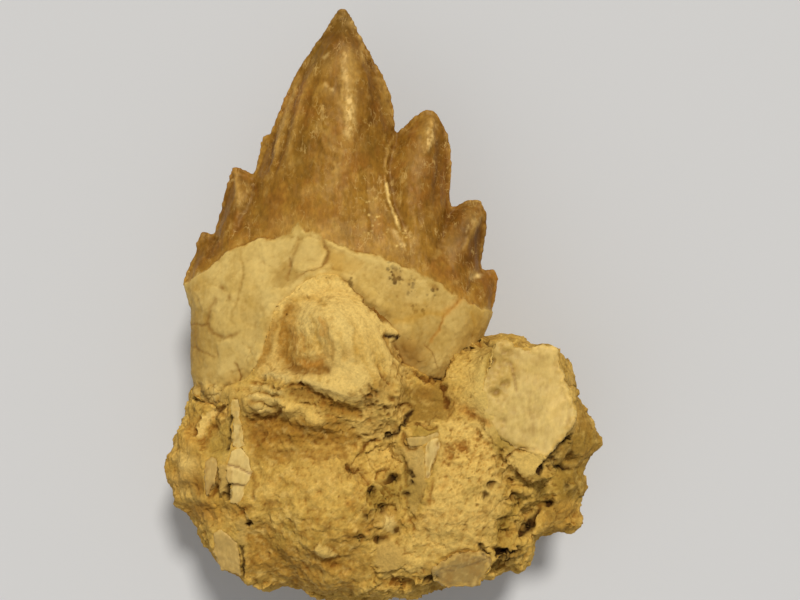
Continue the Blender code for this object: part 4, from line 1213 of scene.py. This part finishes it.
def rock_film(face):
    """The thin sheet of rock that is left on the root round the knob."""
    top = onto(lambda across, along: (face_height(face, across, along) or 31.0) + 0.5, ROCK_FILM)
    return prism("rock_film", top, FILM_THICKNESS, 1.0)


def join_root(rock, face):
    """Ends the rock crisply where the root shows, and keeps it over the root's face elsewhere."""
    edge = rock.exact + 0.5 * (rock.spots - rock.exact)
    shows = ramp(patch_depth(edge, ROOT_SHOWS), -0.8, 0.8)
    some = (rock.points[:, 2] > FACE_LOW) & (rock.exact[:, 1] < 440)
    some &= (rock.normals[:, 2] > -0.2) | (shows > 0.02)
    for index in np.nonzero(some)[0]:
        across, along, height = rock.points[index]
        found = face_height(face, across, along)
        if found is None:
            continue
        edge_height = found + 0.4 - 1.5 * shows[index]
        if shows[index] > 0.02:
            rock.points[index, 2] = min(height, edge_height)
        if shows[index] < 0.98 and height > found - 4.0 and rock.normals[index, 2] > -0.2:
            rock.points[index, 2] = max(rock.points[index, 2], edge_height)
    rock.settle()


def carve(piece):
    """The strokes, spots and flat faces that run over the rock and its fragments alike."""
    for outline, lift, flat, soft, _, _ in ROCK_PLATES:
        piece.plate(outline, lift, flat, soft)
    for line, rise, width, _, _ in ROCK_STROKES:
        piece.stroke(line, rise, width)
    for centre, reach, rise, turn, _, _ in ROCK_SPOTS:
        piece.spot(centre, reach, rise, turn)
    piece.settle()


def stain(piece):
    """The paint that goes with carve."""
    for outline, _, _, soft, colour, strength in ROCK_PLATES:
        piece.colour(colour, piece.area(outline, soft) * strength)
    for centre, reach, _, turn, colour, strength in ROCK_SPOTS:
        shape = np.clip(blob(piece.spots, centre, reach, turn) * 1.4, 0, 1)
        piece.colour(colour, shape * piece.front * strength)
    for line, _, width, colour, strength in ROCK_STROKES:
        gap, along = line_distance(piece.spots, line)
        shape = np.clip(np.exp(-(gap / width) ** 2) * 1.5, 0, 1)
        piece.colour(colour, shape * fading(along, -0.02, 0.12) * piece.front * strength)


def chunks(points, size, seed):
    """Broken flat faces: each random cell is a tilted plane of its own, about -1 to 1."""
    heights = np.zeros(len(points))
    edges = np.zeros(len(points))
    for index, point in enumerate(turned(points, size, seed)):
        gaps, centres = noise.voronoi(point)
        tilt = noise.noise_vector(centres[0] * 5.3)
        heights[index] = tilt.x + 1.6 * (Vector(point) - centres[0]).dot(tilt.normalized())
        edges[index] = gaps[1] - gaps[0]
    return heights, edges


def large_forms(face):
    """The rock in its main shape, bedded round its fragments and joined to the root's face."""
    rock = Sculpt(["matrix"] + FRAGMENTS, "matrix_fine", ROCK_VOXEL, film=rock_film(face))
    rock.smooth(8)
    rock.aim(1.0)
    for outline, edge, drop, reach in ROCK_SLOPES:
        rock.slope(outline, edge, drop, reach)
    for centre, reach, rise, turn in ROCK_FORMS:
        rock.spot(centre, reach, rise, turn)
    for outline, plane, soft in ROCK_LEVELS:
        rock.level(outline, plane, soft)
    for centre, reach, across, down in ROCK_NUDGES:
        rock.nudge(centre, reach, across, down)
    rock.settle()
    outer = 1 - rock.area(ROCK_MIDDLE, 25) * rock.upper
    facets, _ = chunks(rock.points, 9, 31)
    touching = close_to_tooth(rock.points, 3.0)
    rock.push((0.9 * facets + 0.7 * rock.fbm(9, 3, 32)) * outer * (1 - touching)
              * ramp(rock.points[:, 2], 0.6, 3.0))
    for node in FRAGMENTS:
        bed(rock, node)
    join_root(rock, face)
    rock.fuse(ROCK_LAST_VOXEL)
    return rock


def build_rock(tooth):
    face = tooth.surface()
    rock = large_forms(face)
    rock.refine(2, 0.15, WHOLE_VIEW)
    rock.smooth(4)
    rock.aim(1.5)
    touching = close_to_tooth(rock.points, 1.6)
    bedded = np.max([nearness(rock, node) for node in FRAGMENTS], axis=0)
    areas = {name: rock.area(*area[:2]) for name, area in ROCK_AREAS.items()}
    knob = areas["knob"]
    even = np.clip(knob + areas["slab_side"] + 0.9 * areas["olive"] + 0.6 * areas["strip"], 0, 1)
    grainy = np.clip(areas["granular"] + areas["porous"] + areas["lobe_top"], 0, 1)
    sandy = np.clip(areas["brown"] + areas["middle"] + areas["foot"], 0, 1)
    even = np.clip(even + 0.7 * areas["side"] + 0.45 * areas["low_lump"]
                   + 0.45 * areas["left_crust"], 0, 1)

    # broken and crumbly surface
    broken = rock.fbm(7, 4, 11)
    crumbs = rock.fbm(2.2, 5, 12)
    near, second = cells(rock.points, 1.5, 2)
    fine_near, _ = cells(rock.points, 0.75, 3)
    chips, chip_edges = chunks(rock.points + broken[:, None], 3.4, 4)
    even *= 1 - 0.8 * areas["porous"]
    even = np.maximum(even, 0.85 * blob(rock.spots, (264, 398), (26, 20)))
    hollow = blob(rock.spots, (307, 342), (24, 34)) * knob
    rough = 1 - 0.82 * even + 0.14 * hollow
    above_foot = areas["middle"] * (1 - areas["foot"])
    height = 0.35 * broken * (1 - 0.75 * even)
    height += 0.5 * crumbs * rough * (1 - 0.35 * grainy - 0.75 * areas["foot"] - 0.3 * above_foot)
    height += (0.16 * (0.5 - near) + 0.13 * (0.5 - fine_near)) * rough * (0.7 + 0.6 * grainy)
    height -= 0.15 * ramp(0.07 - (second - near), 0, 0.06) * rough * (1 - sandy)
    height += 0.52 * chips * rough * (1 - 0.75 * grainy - 0.8 * sandy - 0.5 * areas["left"])
    height -= (0.3 * ramp(0.05 - chip_edges, 0, 0.05) * rough * (1 - grainy) * (1 - 0.95 * sandy)
               * (1 - 0.8 * areas["left"]))
    height += 0.32 * rock.fbm(1.7, 5, 15, [0.6, 1, 1]) * areas["brown"]
    height += 0.36 * rock.fbm(1.7, 5, 15, [1, 0.7, 0.7]) * above_foot
    height += 0.55 * rock.fbm(2.2, 4, 33, [1, 0.5, 0.5]) * areas["foot"]
    height += 0.9 * rock.fbm(1.5, 3, 34) * blob(rock.spots, (470, 448), (36, 34))
    height += 0.3 * rock.fbm(2.4, 4, 16, [1.1, 0.4, 1]) * areas["left"]
    holes = speckle(rock.points, 1.5, 0.24, 0.36, 5) * np.clip(grainy + 0.3 * (1 - even), 0, 1)
    height -= 0.6 * holes
    pores = speckle(rock.points, 1.55, 0.6, 0.42, 6) * areas["porous"]
    height -= 0.6 * pores
    height += 0.1 * rock.fbm(0.9, 3, 19) * even + 0.16 * rock.fbm(1.3, 4, 20) * hollow
    height *= (1 - 0.7 * ramp(touching, 0.2, 0.7)) * ramp(rock.points[:, 2], 0.0, 1.5)
    rock.push(height * (1 - 0.5 * bedded) + 0.75 * ramp(touching, 0.3, 0.7))
    carve(rock)
    rock.blunt(5, 0.55)
    for node in FRAGMENTS:
        keep_under(rock, node)
    join_root(rock, face)
    on_knob = ramp(patch_depth(rock.exact, ROCK_AREAS["knob"][0]), 3.0, 6.0)
    rock.smooth(3, 0.7 * on_knob * rock.upper * (1 - areas["porous"]))

    # paint
    patches = rock.fbm(9, 4, 13)
    mottle = rock.fbm(2.4, 5, 17)
    rock.paint[:] = COLOURS["rock"]
    rock.colour("rock_brown", ramp(-patches + 0.3 * mottle, 0.1, 0.7) * 0.5)
    for name, (_, _, colour, strength) in ROCK_AREAS.items():
        rock.colour(colour, areas[name] * strength)
    rock.colour("rock_pale", ramp(mottle + 0.3 * patches, 0.1, 0.7) * 0.5 * (1 - 0.6 * sandy))
    rock.colour("rock_brown", ramp(-mottle, 0.15, 0.8) * (0.35 + 0.3 * sandy) * (1 - 0.7 * even))
    rock.colour("orange", ramp(rock.fbm(4, 3, 18), 0.3, 0.8) * 0.3 * (1 - 0.6 * even))
    flecks = rock.fbm(1.1, 3, 25)
    rock.colour("rock_brown", ramp(flecks, 0.25, 0.7) * 0.5 * (1 - 0.8 * even))
    rock.colour("cream", ramp(-flecks, 0.3, 0.8) * 0.42 * (1 - 0.8 * even)
                * (1 - 0.3 * areas["brown"]))
    flakes = rock.fbm(1.7, 3, 28)
    rock.colour("rock_brown", ramp(flakes, 0.2, 0.6) * 0.4 * sandy)
    rock.colour("cream", ramp(-flakes, 0.25, 0.65) * 0.4 * sandy)
    rock.colour("rock_olive", ramp(rock.fbm(5, 3, 26), 0.2, 0.7) * 0.3 * (1 - even))
    flanks = ramp(24 - rock.points[:, 2], 0, 12)
    rock.colour("rock_pale", ramp(rock.fbm(6, 5, 35), -0.3, 0.5) * 0.6 * flanks)
    rock.colour("root_tan", ramp(rock.fbm(9, 4, 36), 0.0, 0.6) * 0.5 * flanks)
    # the pits and pores painted dark, as shade in them
    rock.colour("dirt", holes * 0.45)
    rock.colour("stain", pores * 0.6)
    rock.colour("amber", ramp(mottle + 0.4 * flecks, 0.0, 0.7) * 0.45 * knob)
    rock.colour("rock_brown", ramp(flecks - 0.5 * mottle, 0.35, 0.8) * 0.5 * knob)
    stain(rock)
    specks = rock.fbm(0.9, 4, 27)
    rock.colour("rock_brown", ramp(specks, 0.15, 0.6) * 0.6 * hollow)
    rock.colour("cream", ramp(-specks, 0.1, 0.6) * 0.6 * hollow)
    # painted shade in the rock's hollows and painted highlight on its crests, finely and broadly
    rock.shade_relief(5, 0.24, 0.5, 0.14, (1 - 0.6 * bedded) * (1 - 0.4 * knob))
    rock.shade_relief(30, 1.0, 0.3, 0.1, (1 - 0.8 * bedded) * (1 - 0.6 * knob))
    # steep faces above the lowest few millimetres painted darker and more saturated, as the shade
    # on faces turned from the light
    steep = ramp(0.75 - rock.normals[:, 2], 0.0, 0.7)[:, None]
    rock.paint *= 1 - 0.22 * steep * [0.8, 1.0, 1.3] * ramp(rock.points[:, 2:], 8, 26)
    rock.finish(rock_material(), "rock")


# ---------------------------------------------------------------- the fragments

def shard_mesh(node, outline):
    """A flat shard with the outline seen in the view, in the plane of the node's upper face."""
    plane = upper_plane(node)
    top = onto(lambda across, along: float(plane @ [across, along, 1.0]), outline)
    return prism(node, top, SHARD_THICKNESS, 0.94)


def build_fragment(node):
    """A fragment with its rim, flat faces, mottling and streaks; it still needs its material."""
    outline, base, dark = FRAGMENT_LOOKS[node]
    shard = Sculpt([node], node + "_fine", SHARD_VOXEL, mesh=shard_mesh(node, outline))
    shard.smooth(2)
    shard.aim(0.9)
    side = ramp(0.8 - np.abs(shard.normals[:, 2]), 0, 0.4)
    grain = shard.fbm(1.1, 4, 22, [1, 0.3, 1])
    shard.push(0.16 * shard.fbm(3.4, 4, 21) + 0.2 * shard.fbm(8, 2, 27) + 0.05 * grain
               + 0.4 * side * shard.fbm(1.6, 4, 24))
    for flake, owner, lift, flat, soft in FRAGMENT_PLATES:
        if owner == node:
            shard.plate(flake, lift, flat, soft)
    shard.settle()
    rim = 1 - ramp(patch_depth(shard.spots, outline), 1.0, 9.0)
    if node == "bone_slab":
        rim = np.maximum(rim, shard.area(SLAB_ROUGH, 6))
    elif node not in ("facet_block", "root_shard_upper"):
        rim *= 0.35
    shard.push(0.3 * shard.fbm(1.8, 4, 28) * rim)
    carve(shard)
    mottle = shard.fbm(3, 4, 23)
    shard.paint[:] = COLOURS[base]
    shard.colour(dark, ramp(-mottle, 0.0, 0.6) * 0.4 + 0.25 * ramp(-grain, 0.1, 0.6))
    shard.colour("root_pale", ramp(mottle, 0.15, 0.7) * 0.25)
    shard.colour("rock", ramp(shard.fbm(1.5, 4, 29) + 1.2 * rim, 0.6, 1.3) * 0.75)
    streaks = shard.fbm(1.0, 4, 30, [1.2, 0.4, 1])
    shard.colour("cream", ramp(streaks, 0.1, 0.6) * 0.35)
    shard.colour("root_tan", ramp(-streaks, 0.15, 0.7) * 0.35)
    stain(shard)
    # painted shade in the shard's hollows and painted highlight on its crests
    shard.shade_relief(5, 0.15, 0.35, 0.12)
    return shard


# ---------------------------------------------------------------- the setting

def build_floor():
    bpy.ops.mesh.primitive_plane_add(size=4.0)
    floor = bpy.context.object
    floor.name = "floor"
    material, _, _ = new_material("pale_floor", {
        "Base Color": (0.6, 0.63, 0.7, 1), "Roughness": 0.9})
    floor.data.materials.append(material)


def add_light(name, place, spread, strength, colour):
    """A soft distant light that shines from the given direction; its spread is in degrees."""
    light = bpy.data.lights.new(name, "SUN")
    light.angle = math.radians(spread)
    light.energy = strength
    light.color = colour
    lamp = bpy.data.objects.new(name, light)
    bpy.context.scene.collection.objects.link(lamp)
    lamp.location = place
    lamp.rotation_euler = (-Vector(place)).to_track_quat("-Z", "Y").to_euler()


def build_world():
    """Soft light from all round, with a backdrop as pale as the floor where the floor ends."""
    world = bpy.data.worlds.new("soft_studio")
    world.use_nodes = True
    tree = world.node_tree
    glow, backdrop = (
        add_node(tree, "ShaderNodeBackground", {"Color": colour, "Strength": strength})
        for colour, strength in (((1.0, 0.95, 0.86, 1), 0.3), ((0.621, 0.61, 0.589, 1), 1.0)))
    seen = add_node(tree, "ShaderNodeLightPath", {}).outputs["Is Camera Ray"]
    either = add_node(tree, "ShaderNodeMixShader", [seen, glow.outputs[0], backdrop.outputs[0]])
    tree.links.new(either.outputs[0], tree.nodes["World Output"].inputs["Surface"])
    bpy.context.scene.world = world


def build_camera():
    camera = bpy.data.cameras.new("camera")
    camera.sensor_width = SENSOR_WIDTH
    camera.lens = SENSOR_WIDTH * FOCAL_PIXELS / VIEW_WIDTH
    camera.clip_start = 0.01
    eye = bpy.data.objects.new("camera", camera)
    eye.location = Vector(CAMERA_MM) * MM
    bpy.context.scene.collection.objects.link(eye)
    bpy.context.scene.camera = eye


def build_setting():
    build_floor()
    add_light("key_light", (0.11, 0.37, 0.6), 12.0, 2.5, (1.0, 0.93, 0.8))
    add_light("fill_light", (-0.4, -0.3, 0.65), 60.0, 0.3, (1.0, 0.95, 0.86))
    build_world()
    bpy.context.scene.view_settings.view_transform = "Standard"
    build_camera()


build_rock(build_tooth())
shards = [build_fragment(node) for node in FRAGMENTS]
bone = bone_material()
for shard in shards:
    shard.finish(bone, "bone")
build_setting()
